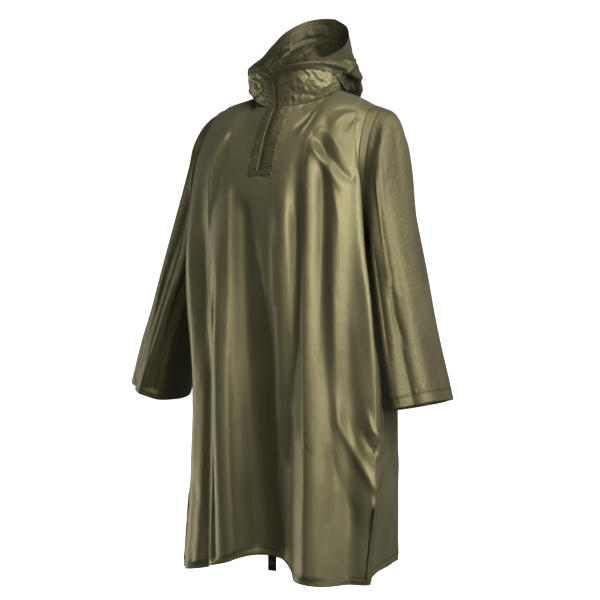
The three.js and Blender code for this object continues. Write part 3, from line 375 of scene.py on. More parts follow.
class Panel:
    # a finished panel that places and normals can be read from by across and down, in millimetres
    def __init__(self, grid, across, down, sense):
        self.grid, self.across, self.down, self.sense = grid, across, down, sense
        self.normals = gridNormals(grid, sense)

    def at(self, s, d, away=0.0):
        s, d = np.broadcast_arrays(np.asarray(s, float), np.asarray(d, float))
        shape = s.shape
        points, normals = [], []
        for one, drop in zip(s.ravel(), d.ravel()):
            r = int(np.clip(np.searchsorted(levels, drop) - 1, 0, len(levels) - 2))
            t = (drop - levels[r]) / (levels[r + 1] - levels[r])
            place, normal = [], []
            for row in (r, r + 1):
                c = int(np.clip(np.searchsorted(self.across[row], one) - 1, 0, self.across.shape[1] - 2))
                low, high = self.across[row, c], self.across[row, c + 1]
                f = np.clip((one - low) / (high - low), 0, 1)
                place.append(self.grid[row, c] * (1 - f) + self.grid[row, c + 1] * f)
                normal.append(self.normals[row, c] * (1 - f) + self.normals[row, c + 1] * f)
            points.append(place[0] * (1 - t) + place[1] * t)
            normals.append(normal[0] * (1 - t) + normal[1] * t)
        points, normals = np.array(points), np.array(normals)
        normals /= np.linalg.norm(normals, axis=1, keepdims=True)
        return (points + normals * away).reshape(shape + (3,)), normals.reshape(shape + (3,))


# Creases listed, in millimetres of (across, down).
frontCreases = [
    # wearer's left chest: a swag that hangs from the pinch at the shoulder, and the folds under it
    crease([(116, 108), (126, 140), (160, 180), (196, 224), (216, 234), (226, 204), (228, 92)],
           (8, 7), -6.5, taper=(0.25, 0.06), sharp=1.4),
    crease([(112, 150), (148, 194), (184, 242), (210, 254)], (9, 8), 6, taper=(0.2, 0.3)),
    crease([(132, 118), (166, 150), (196, 190)], (8, 10), 4.5),
    crease([(228, 78), (230, 228), (242, 336), (258, 536), (268, 686)], (7, 15), 6,
           taper=(0.03, 0.35), sharp=1.6),
    crease([(226, 76), (206, 108), (190, 150)], 6, -4, taper=(0.1, 0.5), sharp=1.2),
    crease([(224, 72), (196, 92), (164, 124)], 7, 4, taper=(0.1, 0.5), sharp=1.2),
    crease([(222, 70), (186, 76), (150, 96)], 7, -3.5, taper=(0.1, 0.5)),
    crease([(96, 36), (84, 56), (58, 84)], 6, -3.2),
    crease([(110, 40), (98, 74), (70, 108)], 8, 3.4),
    crease([(122, 168), (118, 230), (118, 385), (122, 536), (128, 690), (138, 862), (142, 1085)],
           (22, 9), 8, taper=(0.03, 0.02), sharp=1.5),
    crease([(124, 166), (140, 186), (168, 226), (186, 300), (190, 370)], (7, 8), 5,
           taper=(0.08, 0.5), sharp=1.4),
    crease([(146, 200), (156, 300), (160, 440), (166, 590), (178, 740), (190, 900), (196, 1085)],
           (10, 14), -4, taper=(0.08, 0.25), sharp=1.6),
    crease([(170, 250), (177, 365), (184, 541), (190, 690)], (12, 8), 4, taper=(0.2, 0.3), sharp=1.5),
    crease([(218, 430), (228, 560), (236, 700)], 20, 5, taper=(0.4, 0.2)),
    # ridge that ends beside the row of studs, in a diagonal streak with a dark hollow below it
    crease([(186, 640), (196, 740), (226, 800), (262, 858), (280, 900)], (11, 9), 9,
           taper=(0.35, 0.12), sharp=1.5),
    crease([(236, 742), (262, 790), (290, 806)], (10, 7), -6, taper=(0.4, 0.1), sharp=1.4),
    crease([(246, 690), (266, 752), (290, 780)], (6, 10), 6, taper=(0.5, 0.05), sharp=1.3),
    crease([(170, 770), (192, 850), (226, 930), (232, 1010)], (16, 12), -5),
    crease([(262, 880), (274, 930), (276, 1000)], 8, 2.5),
    # below the zip
    crease([(66, 222), (72, 262), (80, 385), (86, 561), (92, 691), (100, 820)], (6, 20), 6,
           taper=(0.12, 0.3), sharp=1.4),
    crease([(88, 262), (97, 400), (106, 560), (112, 700), (118, 840)], (8, 8), -6,
           taper=(0.1, 0.2), sharp=1.5),
    crease([(2, 296), (14, 380), (26, 486)], 13, 5, taper=(0.4, 0.4)),
    crease([(40, 320), (46, 420), (42, 520)], (5, 9), 3.5),
    crease([(54, 800), (46, 900), (50, 1020)], (6, 12), 3.6),
    crease([(96, 700), (84, 800), (90, 850)], (5, 9), -3),
    crease([(120, 776), (136, 798), (146, 806)], 4.5, -4, sharp=1.2),
    # wearer's right: a bent fold on the chest and the long sharp one under it
    crease([(-126, 108), (-142, 168), (-147, 205), (-137, 270), (-142, 370)], (5, 17), 7,
           taper=(0.12, 0.5), sharp=1.3),
    crease([(-108, 130), (-122, 190), (-118, 280)], (14, 9), -5),
    crease([(-84, 214), (-76, 226), (-74, 300), (-70, 450), (-72, 650), (-70, 850), (-66, 1085)],
           (7, 26), 8, taper=(0.04, 0.02), sharp=1.4),
    crease([(-46, 236), (-40, 330), (-36, 500), (-34, 760), (-32, 1085)], (26, 13), -10,
           taper=(0.06, 0.02), sharp=1.7),
    crease([(34, 560), (44, 760), (52, 1085)], (30, 36), 9, taper=(0.5, 0.02), sharp=1.8),
    crease([(-116, 380), (-120, 560), (-119, 800), (-118, 1085)], (11, 10), -15,
           taper=(0.2, 0.02), sharp=1.6),
    crease([(-144, 440), (-160, 640), (-164, 890), (-166, 1085)], (16, 20), 9,
           taper=(0.25, 0.02), sharp=1.7),
    crease([(266, 840), (274, 960), (276, 1085)], (22, 56), 5, taper=(0.35, 0.02), sharp=1.8),
    # studs pull the side edge into short slashes
    crease([(262, 764), (300, 760), (338, 758)], 5, -3.2, taper=(0.6, 0.05)),
    crease([(270, 828), (304, 823), (338, 821)], 5, -3.4, taper=(0.6, 0.05)),
    crease([(268, 892), (300, 886), (338, 884)], 5, -3.0, taper=(0.6, 0.05)),
    crease([(-262, 764), (-300, 760), (-330, 758)], 5, -3.0, taper=(0.6, 0.05)),
    crease([(-268, 828), (-302, 823), (-330, 821)], 5, -3.2, taper=(0.6, 0.05)),
    crease([(-262, 892), (-296, 886), (-330, 884)], 5, -2.8, taper=(0.6, 0.05)),
]
backCreases = [
    crease([(0, 90), (-8, 260), (-30, 420)], 14, 4),
    crease([(60, 60), (92, 150), (110, 300)], (9, 12), 5),
    crease([(-70, 56), (-96, 140), (-116, 320)], (10, 8), 5),
    crease([(150, 70), (142, 190), (156, 360)], 10, -5),
    crease([(-152, 80), (-140, 200), (-156, 340)], 10, -5),
    crease([(-40, 300), (-60, 520), (-52, 760)], 10, 4),
    crease([(84, 340), (74, 560), (96, 820)], (11, 8), 4),
    crease([(210, 700), (248, 780), (262, 900)], 12, 5),
    crease([(-214, 690), (-240, 800), (-256, 930)], 12, 5),
]
frontCreases += scatterCreases(26, (-300, 300), (250, 1000), (0, 14), (80, 220), (9, 20), (0.6, 1.8))
frontCreases += scatterCreases(12, (-170, 170), (60, 240), (0, 40), (30, 80), (4, 8), (0.4, 1.0))
frontCreases += scatterCreases(60, (-290, 290), (230, 1050), (0, 34), (24, 70), (2.6, 5), (0.3, 0.9))
backCreases += scatterCreases(40, (-330, 330), (120, 1000), (0, 16), (60, 200), (5, 11), (0.6, 1.8))
for side in (1, -1):
    backCreases += scatterCreases(16, tuple(sorted((side * 220, side * 335))), (690, 1060), (0, 26),
                                  (50, 150), (7, 14), (1.4, 3.6))

# gathers below the collar, and puckers beside the placket, the hem and the slits
neckPlaces = [(side * x, 3, side * (0.25 + x / 160), 0.9)
              for side in (1, -1) for x in np.arange(34, 128, 5.5)]
frontCreases += seamPuckers(neckPlaces, (18, 52), (2.6, 4.6), (0.8, 2.0), (0.04, 0.8))
placketPlaces = [(side * 29, d, side * 0.85, -0.5) for side in (1, -1) for d in np.arange(26, 200, 6.5)]
placketPlaces += [(x, 199, x / 60, 1.0) for x in np.arange(-27, 28, 6)]
frontCreases += seamPuckers(placketPlaces, (8, 26), (2.4, 3.6), (0.6, 1.5), (0.04, 0.8))
for creases in (frontCreases, backCreases):
    hemPlaces = [(x, 1074, random.uniform(-0.4, 0.4), -1.0) for x in np.arange(-320, 321, 11)]
    creases += seamPuckers(hemPlaces, (10, 34), (3, 6), (0.4, 1.1), (0.04, 0.8))

front = Panel(*panelGrid(frontSections, frontFolds, frontCreases, frontHemLift, True, True), 1)
closedGrid, *_ = panelGrid(frontSections, frontFolds, frontCreases, frontHemLift, True)
closedNormals = gridNormals(closedGrid, 1)
backGrid, backAcross, _ = panelGrid(backSections, backFolds, backCreases, backHemLift, False)

# below lapFrom the back panel steps in at its edges and runs on under the front panel
backNormals = gridNormals(backGrid, -1)
fromSeam = np.concatenate([18 - columnPlaces[::-1], 18 - columnPlaces[1:]])
share = np.interp(fromSeam, [0, 1, 2, 3, 4], [1, 0.85, 0.5, 0.18, 0])
lapped = smooth(panelCut["lapFrom"] - 60, panelCut["lapFrom"], levels)
backGrid = backGrid - backNormals * (panelCut["lapDepth"] * share[None] * lapped[:, None])[..., None]
lapPlaces = np.nonzero((columnPlaces[::-1] < 18) & (columnPlaces[::-1] >= 14))[0]
lapCount = len(lapPlaces)
under = closedGrid - closedNormals * panelCut["lapDepth"]
rightLap, leftLap = under[:, lapPlaces], under[:, -1 - lapPlaces]
edgeStep = lambda grid: np.cumsum(np.linalg.norm(np.diff(grid, axis=1), axis=2), axis=1)
leftRun = edgeStep(np.concatenate([backGrid[:, -1:], leftLap], 1))
rightRun = edgeStep(np.concatenate([backGrid[:, :1], rightLap], 1))
backWide = np.concatenate([rightLap[:, ::-1], backGrid, leftLap], axis=1)
backWideAcross = np.concatenate([(backAcross[:, :1] - rightRun)[:, ::-1], backAcross,
                                 backAcross[:, -1:] + leftRun], 1)
back = Panel(backWide, backWideAcross, np.repeat(levels[:, None], backWide.shape[1], 1), -1)
print("panels shaped", front.grid.shape, back.grid.shape)


def meshObject(name, vertices, faces, uvs=None, materials=()):
    mesh = bpy.data.meshes.new(name)
    mesh.from_pydata((np.asarray(vertices) * mm).tolist(), [], np.asarray(faces).tolist())
    if uvs is not None:
        layer = mesh.uv_layers.new(name="cloth")
        layer.data.foreach_set("uv", np.asarray(uvs, np.float32).ravel())
    for material in materials:
        mesh.materials.append(material)
    mesh.polygons.foreach_set("use_smooth", [True] * len(mesh.polygons))
    mesh.update()
    made = bpy.data.objects.new(name, mesh)
    bpy.context.collection.objects.link(made)
    return made


def shell(name, grid, uv, sense, materials, isRing=False, skipped=None, thickness=None, edge=None):
    # grid: outer face, rows x columns; uv: the same laid flat, in metres, one column more on a ring
    rows, columns = grid.shape[:2]
    cells = columns if isRing else columns - 1
    r, c = np.meshgrid(np.arange(rows - 1), np.arange(cells), indexing="ij")
    keep = np.ones(r.shape, bool) if skipped is None else ~skipped[:rows - 1, :cells]
    r, c = r[keep], c[keep]
    corners = [(r, c), (r + 1, c), (r + 1, c + 1), (r, c + 1)]
    if sense < 0:
        corners = [corners[0], corners[3], corners[2], corners[1]]
    faces = np.stack([a * columns + b % columns for a, b in corners], axis=1)
    uvs = np.stack([uv[a, b] for a, b in corners], axis=1)
    used, faces = np.unique(faces, return_inverse=True)
    made = meshObject(name, grid.reshape(-1, 3)[used], faces.reshape(-1, 4), uvs, materials)
    if edge is not None:
        # how near a row of sewing or a turned edge each point is, 0 to 1, for a dirt tone; on the collar it
        # also holds a band of painted shade beside the zip
        layer = made.data.attributes.new("edge", "FLOAT", "POINT")
        layer.data.foreach_set("value", np.ascontiguousarray(edge.ravel()[used], np.float32))
    solid = made.modifiers.new("cloth", "SOLIDIFY")
    solid.thickness = (thickness or panelCut["clothThickness"]) * mm
    solid.offset = -1
    solid.material_offset = 1 if len(materials) > 1 else 0
    solid.material_offset_rim = 0
    return made


def flatUv(across, down):
    return np.stack([across, down], axis=-1) * mm


def stitchShape(sides=5):
    rings = [(-0.5, 0.0), (-0.42, 0.75), (0, 1.0), (0.42, 0.75), (0.5, 0.0)]
    points, faces = [(rings[0][0], 0, 0)], []
    for along, wide in rings[1:-1]:
        points += [(along, wide * math.cos(2 * math.pi * k / sides),
                    wide * math.sin(2 * math.pi * k / sides))
                   for k in range(sides)]
    points.append((rings[-1][0], 0, 0))
    last = len(points) - 1
    for k in range(sides):
        n = (k + 1) % sides
        faces.append((0, 1 + n, 1 + k))
        faces.append((last, 1 + 2 * sides + k, 1 + 2 * sides + n))
        for ring in range(2):
            a, b = 1 + ring * sides, 1 + (ring + 1) * sides
            faces += [(a + k, a + n, b + n), (a + k, b + n, b + k)]
    return np.array(points, float), np.array(faces)


stitch = {"pitch": 3.4, "length": 2.5, "radius": 0.34, "sunk": 0.1}  # mm
stitchPoints, stitchFaces = stitchShape()


def stitches(name, lines):
    # lines: (points, normals) along each row of sewing
    pitch, radius = stitch["pitch"], stitch["radius"]
    vertices, faces = [], []
    for points, normals in lines:
        lengths = np.concatenate([[0], np.cumsum(np.linalg.norm(np.diff(points, axis=0), axis=1))])
        places = np.arange(pitch / 2, lengths[-1], pitch)
        if not len(places):
            continue
        read = lambda table, at: np.stack([np.interp(at, lengths, table[:, k]) for k in range(3)], axis=1)
        middle, out = read(points, places), read(normals, places)
        ahead = read(points, np.minimum(places + 1, lengths[-1])) - read(points, np.maximum(places - 1, 0))
        ahead /= np.linalg.norm(ahead, axis=1, keepdims=True)
        beside = np.cross(ahead, out)
        beside /= np.maximum(1e-9, np.linalg.norm(beside, axis=1, keepdims=True))
        out = np.cross(beside, ahead)
        middle = middle + out * (radius * 0.6 - stitch["sunk"])
        local = stitchPoints * np.array([stitch["length"], radius, radius])
        placed = (middle[:, None] + local[None, :, :1] * ahead[:, None]
                  + local[None, :, 1:2] * beside[:, None] + local[None, :, 2:] * out[:, None])
        starts = sum(len(v) for v in vertices) + np.arange(len(places))[:, None, None] * len(stitchPoints)
        vertices.append(placed.reshape(-1, 3))
        faces.append((stitchFaces[None] + starts).reshape(-1, 3))
    made = meshObject(name, np.concatenate(vertices), np.concatenate(faces), None, [threadFinish])
    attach(made, "poncho")


def newGroup(name, inputs, outputs):
    group = bpy.data.node_groups.new(name, "ShaderNodeTree")
    for label, kind, value in inputs:
        socket = group.interface.new_socket(name=label, in_out="INPUT", socket_type=kind)
        if value is not None:
            socket.default_value = value
    for label, kind in outputs:
        group.interface.new_socket(name=label, in_out="OUTPUT", socket_type=kind)
    return group, group.nodes.new("NodeGroupInput"), group.nodes.new("NodeGroupOutput")


def addNode(tree, kind, settings=None, links=None):
    node = tree.nodes.new(kind)
    for key, value in (settings or {}).items():
        setattr(node, key, value)
    for key, value in (links or {}).items():
        if isinstance(value, bpy.types.NodeSocket):
            tree.links.new(value, node.inputs[key])
        else:
            node.inputs[key].default_value = value
    return node


def mathNode(tree, operation, a, b=0.5):
    return addNode(tree, "ShaderNodeMath", {"operation": operation}, {0: a, 1: b}).outputs[0]


def crinkleGroup():
    # fine dents that coated cloth keeps: soft cells bent by noise, and a longer waviness
    group, start, end = newGroup("clothCrinkle", [
        ("Place", "NodeSocketVector", None), ("Flat Place", "NodeSocketVector", None),
        ("Cells", "NodeSocketFloat", 60.0),
        ("Waves", "NodeSocketFloat", 18.0), ("Streaks", "NodeSocketFloat", 1.0),
    ], [("Height", "NodeSocketFloat"), ("Mask", "NodeSocketFloat")])
    place = start.outputs["Place"]
    bent = addNode(group, "ShaderNodeTexNoise", {}, {"Vector": place, "Scale": start.outputs["Cells"],
                                                     "Detail": 2.0})
    mixed = addNode(group, "ShaderNodeVectorMath", {"operation": "MULTIPLY_ADD"},
                    {0: bent.outputs["Color"], 1: (0.012, 0.012, 0.012), 2: place})
    cells = addNode(group, "ShaderNodeTexVoronoi", {"feature": "SMOOTH_F1"},
                    {"Vector": mixed.outputs[0], "Scale": start.outputs["Cells"], "Smoothness": 0.6})
    waves = addNode(group, "ShaderNodeTexNoise", {}, {"Vector": place, "Scale": start.outputs["Waves"],
                                                      "Detail": 3.0})
    drawn = addNode(group, "ShaderNodeVectorMath", {"operation": "MULTIPLY"},
                    {0: start.outputs["Flat Place"], 1: (1.0, 0.28, 1.0)})
    streaks = addNode(group, "ShaderNodeTexNoise", {},
                      {"Vector": drawn.outputs[0], "Scale": 110.0, "Detail": 3.0, "Distortion": 0.6})
    height = mathNode(group, "ADD", mathNode(group, "MULTIPLY", cells.outputs["Distance"], 0.6),
                      mathNode(group, "MULTIPLY", waves.outputs["Fac"], 0.9))
    height = mathNode(group, "ADD", height,
                      mathNode(group, "MULTIPLY", streaks.outputs["Fac"], start.outputs["Streaks"]))
    group.links.new(height, end.inputs["Height"])
    group.links.new(waves.outputs["Fac"], end.inputs["Mask"])
    return group


def weaveGroup():
    # threads over and under, from the place on the flat cloth in metres
    group, start, end = newGroup("clothWeave", [
        ("Flat Place", "NodeSocketVector", None), ("Threads Per Metre", "NodeSocketFloat", 1600.0),
    ], [("Height", "NodeSocketFloat")])
    waves = []
    for direction in ("X", "Y"):
        wave = addNode(group, "ShaderNodeTexWave", {"bands_direction": direction}, {
            "Vector": start.outputs["Flat Place"], "Distortion": 0.6, "Detail": 1.0, "Detail Scale": 0.2,
            "Scale": mathNode(group, "MULTIPLY", start.outputs["Threads Per Metre"], 0.05)})
        waves.append(wave.outputs["Fac"])
    group.links.new(mathNode(group, "MAXIMUM", waves[0], waves[1]), end.inputs["Height"])
    return group


def toneGroup():
    # dye that lies a little unevenly, and a darker tone where the edge mask is high: dirt along seams and
    # edges, and painted shade on the collar band beside the zip
    group, start, end = newGroup("clothTone", [
        ("Place", "NodeSocketVector", None), ("Deep", "NodeSocketColor", (0.1, 0.1, 0.1, 1)),
        ("Light", "NodeSocketColor", (0.1, 0.1, 0.1, 1)), ("Edge", "NodeSocketFloat", 0.0),
        ("Edge Tone", "NodeSocketColor", (0.1, 0.1, 0.1, 1)), ("Spread", "NodeSocketFloat", 7.0),
    ], [("Color", "NodeSocketColor"), ("Roughness", "NodeSocketFloat")])
    broad = addNode(group, "ShaderNodeTexNoise", {},
                    {"Vector": start.outputs["Place"], "Scale": start.outputs["Spread"], "Detail": 4.0})
    fine = addNode(group, "ShaderNodeTexNoise", {}, {"Vector": start.outputs["Place"], "Scale": 240.0,
                                                     "Detail": 2.0})
    both = mathNode(group, "ADD", mathNode(group, "MULTIPLY", broad.outputs["Fac"], 0.75),
                    mathNode(group, "MULTIPLY", fine.outputs["Fac"], 0.25))
    ramp = addNode(group, "ShaderNodeMapRange", {}, {"Value": both, "From Min": 0.35, "From Max": 0.65})
    dyed = addNode(group, "ShaderNodeMix", {"data_type": "RGBA"}, {
        "Factor": ramp.outputs[0], "A": start.outputs["Deep"], "B": start.outputs["Light"]})
    rubbed = addNode(group, "ShaderNodeMix", {"data_type": "RGBA"}, {
        "Factor": start.outputs["Edge"], "A": dyed.outputs["Result"], "B": start.outputs["Edge Tone"]})
    group.links.new(rubbed.outputs["Result"], end.inputs["Color"])
    group.links.new(ramp.outputs[0], end.inputs["Roughness"])
    return group


crinkle, weave, tone = crinkleGroup(), weaveGroup(), toneGroup()


def colour(r, g, b):
    return (r, g, b, 1)


def clothFinish(name, s):
    made = bpy.data.materials.new(name)
    made.use_nodes = True
    tree = made.node_tree
    shader = tree.nodes["Principled BSDF"]
    place = addNode(tree, "ShaderNodeTexCoord").outputs["Object"]
    flat = addNode(tree, "ShaderNodeUVMap", {"uv_map": "cloth"}).outputs["UV"]
    edge = addNode(tree, "ShaderNodeAttribute", {"attribute_name": "edge"}).outputs["Fac"]
    toned = addNode(tree, "ShaderNodeGroup", {"node_tree": tone}, {
        "Place": place, "Deep": colour(*s["deep"]), "Light": colour(*s["light"]), "Edge": edge,
        "Edge Tone": colour(*s["edgeTone"]), "Spread": s.get("spread", 7.0)})
    dents = addNode(tree, "ShaderNodeGroup", {"node_tree": crinkle}, {
        "Place": place, "Flat Place": flat, "Cells": s["cells"], "Waves": s["waves"],
        "Streaks": s.get("streaks", 0.0)})
    threads = addNode(tree, "ShaderNodeGroup", {"node_tree": weave}, {
        "Flat Place": flat, "Threads Per Metre": s["threads"]})
    rough = addNode(tree, "ShaderNodeMapRange", {}, {
        "Value": toned.outputs["Roughness"], "To Min": s["rough"][0], "To Max": s["rough"][1]})
    wide = addNode(tree, "ShaderNodeBump", {}, {
        "Height": dents.outputs["Height"], "Strength": s["dentStrength"], "Distance": s["dentDepth"]})
    fine = addNode(tree, "ShaderNodeBump", {}, {
        "Height": threads.outputs["Height"], "Strength": s["weaveStrength"], "Distance": s["weaveDepth"],
        "Normal": wide.outputs["Normal"]})
    tree.links.new(toned.outputs["Color"], shader.inputs["Base Color"])
    tree.links.new(rough.outputs[0], shader.inputs["Roughness"])
    tree.links.new(fine.outputs["Normal"], shader.inputs["Normal"])
    for key, value in s.get("shader", {}).items():
        shader.inputs[key].default_value = value
    return made


taffeta = {
    # edgeTone darkens seams and edges as dirt, and the collar band beside the zip as painted shade
    "deep": (0.112, 0.102, 0.05), "light": (0.142, 0.13, 0.066), "edgeTone": (0.052, 0.047, 0.023),
    "cells": 58.0, "waves": 18.0, "streaks": 1.2, "threads": 1900.0, "rough": (0.47, 0.56),
    "dentStrength": 0.46, "dentDepth": 0.001, "weaveStrength": 0.12, "weaveDepth": 0.0001,
    "shader": {"Metallic": 0.55, "Sheen Weight": 0.05, "Sheen Roughness": 0.5, "Specular IOR Level": 0.5,
               "Specular Tint": (0.85, 0.81, 0.56, 1)},
}
crumpledTaffeta = {**taffeta, "cells": 110.0, "waves": 60.0, "streaks": 0.5, "dentStrength": 0.6,
                   "dentDepth": 0.0018}
liningSide = {**crumpledTaffeta, "deep": (0.07, 0.063, 0.03), "light": (0.095, 0.086, 0.042),
              "rough": (0.5, 0.6)}
# the hood's outer side: the body's cloth in a darker colour, painted shade
hoodTaffeta = {**crumpledTaffeta, "deep": (0.043, 0.039, 0.019), "light": (0.066, 0.06, 0.029)}
# the hood's inner side: the cloth in a darker colour still, painted shade inside the hood
hoodInsideShadeColours = {**crumpledTaffeta, "deep": (0.044, 0.04, 0.019), "light": (0.066, 0.06, 0.029),
              "rough": (0.52, 0.62)}
# the placket: the body's cloth in a darker colour, painted shade beside the zip
placketTaffeta = {**crumpledTaffeta, "deep": (0.066, 0.059, 0.03), "light": (0.096, 0.087, 0.043)}
tapeWeave = {
    "deep": (0.048, 0.042, 0.016), "light": (0.066, 0.058, 0.024), "edgeTone": (0.05, 0.044, 0.018),
    "cells": 200.0,
    "waves": 60.0, "threads": 900.0, "rough": (0.6, 0.75), "dentStrength": 0.2, "dentDepth": 0.0003,
    "weaveStrength": 0.6, "weaveDepth": 0.0003, "shader": {"Specular IOR Level": 0.2,
                                                           "Specular Tint": (0.85, 0.81, 0.56, 1)},
}
webbingWeave = {**tapeWeave, "deep": (0.006, 0.006, 0.006), "light": (0.014, 0.014, 0.013),
                "edgeTone": (0.03, 0.03, 0.03), "threads": 620.0}
threadTwist = {**tapeWeave, "deep": (0.06, 0.054, 0.026), "light": (0.1, 0.09, 0.045),
               "edgeTone": (0.1, 0.09, 0.05), "threads": 2400.0, "rough": (0.45, 0.6)}
toothPlastic = {**tapeWeave, "deep": (0.034, 0.03, 0.012), "light": (0.046, 0.04, 0.017),
                "rough": (0.35, 0.5), "weaveStrength": 0.05}
lacqueredMetal = {**tapeWeave, "deep": (0.06, 0.053, 0.024), "light": (0.1, 0.09, 0.045),
                  "edgeTone": (0.3, 0.28, 0.2), "rough": (0.25, 0.42), "weaveStrength": 0.0,
                  "shader": {"Metallic": 0.75, "Coat Weight": 0.25, "Coat Roughness": 0.2}}
shellFinish = clothFinish("coatedTaffeta", taffeta)
crumpledFinish = clothFinish("crumpledTaffeta", crumpledTaffeta)
hoodPaintedShadeFinish = clothFinish("hoodTaffeta", hoodTaffeta)
hoodInsidePaintedShadeFinish = clothFinish("hoodInside", hoodInsideShadeColours)
placketPaintedShadeFinish = clothFinish("placketTaffeta", placketTaffeta)
insideFinish = clothFinish("taffetaInside", liningSide)
tapeFinish = clothFinish("zipTapeWeave", tapeWeave)
webbingFinish = clothFinish("blackWebbing", webbingWeave)
threadFinish = clothFinish("sewingThread", threadTwist)
toothFinish = clothFinish("zipTeethPlastic", toothPlastic)
metalFinish = clothFinish("oliveLacquer", lacqueredMetal)
studNodes = [f"press_stud_{side}_{i}" for side in ("left", "right") for i in (1, 2, 3)]
for node in ("zip_slider", "zip_pull", "hem_tab_stud", *studNodes):
    item = frame["nodes"][node]
    for part in [item, *item.children_recursive]:
        for place in getattr(part, "material_slots", []):
            place.material = metalFinish
print("finishes ready")


def clothSheet(made, replaced):
    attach(made, "poncho")
    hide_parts(replaced)


def nearLine(at, line, reach):
    return np.exp(-(((at - line) / reach) ** 2))


def panelEdge(panel):
    toSide = np.minimum(panel.across[:, -1:] - panel.across, panel.across - panel.across[:, :1])
    hemDrop, slitTop = panelCut["hemDrop"], panelCut["slitTop"]
    hem = np.maximum(nearLine(panel.down, hemDrop - panelCut["hemBand"], 1.8),
                     nearLine(panel.down, hemDrop, 1.5))
    sides = np.maximum(nearLine(toSide, panelCut["sideSewing"], 2.2), nearLine(toSide, 0, 2.5))
    sides = sides * smooth(slitTop, slitTop + 10, panel.down)
    return np.maximum(hem, sides)


inSlot = ((np.abs((front.across[:, :-1] + front.across[:, 1:]) / 2) < zipCut["slotHalf"])
          & (levels[:, None] < zipCut["slotBottom"] - 1))
frontCloth = shell("front_cloth", front.grid, flatUv(front.across, front.down), 1,
                   [shellFinish, insideFinish], skipped=inSlot, edge=panelEdge(front))
lapCells = np.arange(back.grid.shape[1] - 1)
isLap = (lapCells < lapCount) | (lapCells >= len(lapCells) - lapCount)
noLap = isLap[None] & (levels[:, None] < panelCut["lapFrom"])
backCloth = shell("back_cloth", back.grid, flatUv(back.across, back.down), -1, [shellFinish, insideFinish],
                  skipped=noLap, edge=panelEdge(back))

# Sleeves: lines over the top, under the arm, and at the front and back, from armhole to cuff.
leftSleeve = {
    "ring": np.arange(8) / 7, "flatFront": 0.1, "innerForward": 0,
    "outer": [(195, -41), (228, -55), (246, -82), (257, -150), (269, -250), (300, -410), (330, -556),
              (362, -680)],
    "inner": [(186, -335), (199, -338), (206, -352), (210, -380), (215, -428), (224, -504), (240, -602),
              (257, -704)],
    "front": [-64, -70, -80, -84, -86, -90, -98, -104], "back": [68, 74, 77, 76, 76, 80, 84, 88],
}
rightSleeve = {
    "ring": np.arange(8) / 7, "flatFront": 0.5, "innerForward": 26,
    "outer": [(201, -28), (236, -46), (257, -76), (269, -150), (300, -250), (351, -410), (393, -546),
              (425, -654)],
    "inner": [(186, -335), (203, -338), (207, -352), (213, -380), (226, -424), (262, -494), (295, -592),
              (322, -698)],
    "front": [-64, -70, -80, -86, -90, -94, -102, -110], "back": [68, 74, 77, 76, 76, 80, 84, 88],
}
sleeveFoldColumns = ("topTurn", "cuffTurn", "start", "full", "width", "height")
sleeveFolds = [
    (58, 30, 0.08, 0.5, 15, 9), (92, 66, 0.12, 0.6, 13, -9), (128, 104, 0.15, 0.7, 15, 8),
    (236, 262, 0.15, 0.7, 16, 8), (274, 300, 0.12, 0.6, 14, -8), (304, 334, 0.1, 0.5, 15, 8),
]
sleeveCut = {"perDegree": 1.72, "length": 640, "cuffBand": 17, "bandRise": 0.6}
# creases are in (mm round from the top of the sleeve, front positive; mm along from the armhole)
leftSleeveCreases = [
    crease([(108, 44), (98, 130), (86, 190), (80, 286), (80, 388), (84, 590)], (22, 40), 6,
           taper=(0.08, 0.35)),
    crease([(134, 190), (132, 280), (132, 373), (138, 470), (144, 560)], (16, 14), -6, taper=(0.2, 0.4)),
    crease([(24, 120), (16, 260), (10, 420)], 30, 5, taper=(0.4, 0.4)),
    crease([(150, 400), (120, 452), (84, 470)], 8, -3.4),
    crease([(150, 436), (124, 504), (88, 560)], (10, 13), 3.6),
    crease([(176, 330), (172, 450), (166, 600)], (12, 15), 5),
    crease([(70, 470), (44, 486), (14, 484)], 5, -2),
]
rightSleeveCreases = [
    crease([(214, 140), (226, 350), (234, 630)], 28, 9, taper=(0.3, 0.02)),
    crease([(84, 60), (98, 160), (86, 300), (92, 420)], (14, 7), 6, taper=(0.1, 0.5), sharp=1.4),
    crease([(120, 80), (128, 180), (130, 300)], 9, -5, taper=(0.1, 0.6)),
    crease([(140, 300), (160, 420), (176, 600)], (13, 10), 5),
    crease([(190, 330), (206, 440), (214, 600)], 9, -4.5),
    crease([(100, 420), (116, 500), (122, 620)], 10, -3.5),
    crease([(50, 260), (60, 400), (70, 560)], 12, 4),
]
for creases in (leftSleeveCreases, rightSleeveCreases):
    creases += [
        crease([(-24, 30), (-50, 120), (-66, 280)], (10, 13), 6, taper=(0.1, 0.6)),
        crease([(-90, 50), (-110, 160), (-120, 320)], 10, -5),
        crease([(-130, 200), (-150, 360), (-160, 540)], 12, 5),
        crease([(-60, 320), (-76, 440), (-90, 590)], 12, 5),
    ]
    creases += scatterCreases(14, (-250, 250), (40, 600), (8, 26), (60, 160), (10, 22), (0.6, 1.6))
    creases += seamPuckers([(x, 622, random.uniform(-0.3, 0.3), -1.0) for x in np.arange(-300, 300, 11)],
                           (10, 30), (3, 6), (0.4, 1.0), (0.04, 0.8))
sleeveRows = np.concatenate([np.linspace(0, 0.965, 122), np.linspace(0.965, 1, 12)[1:]])


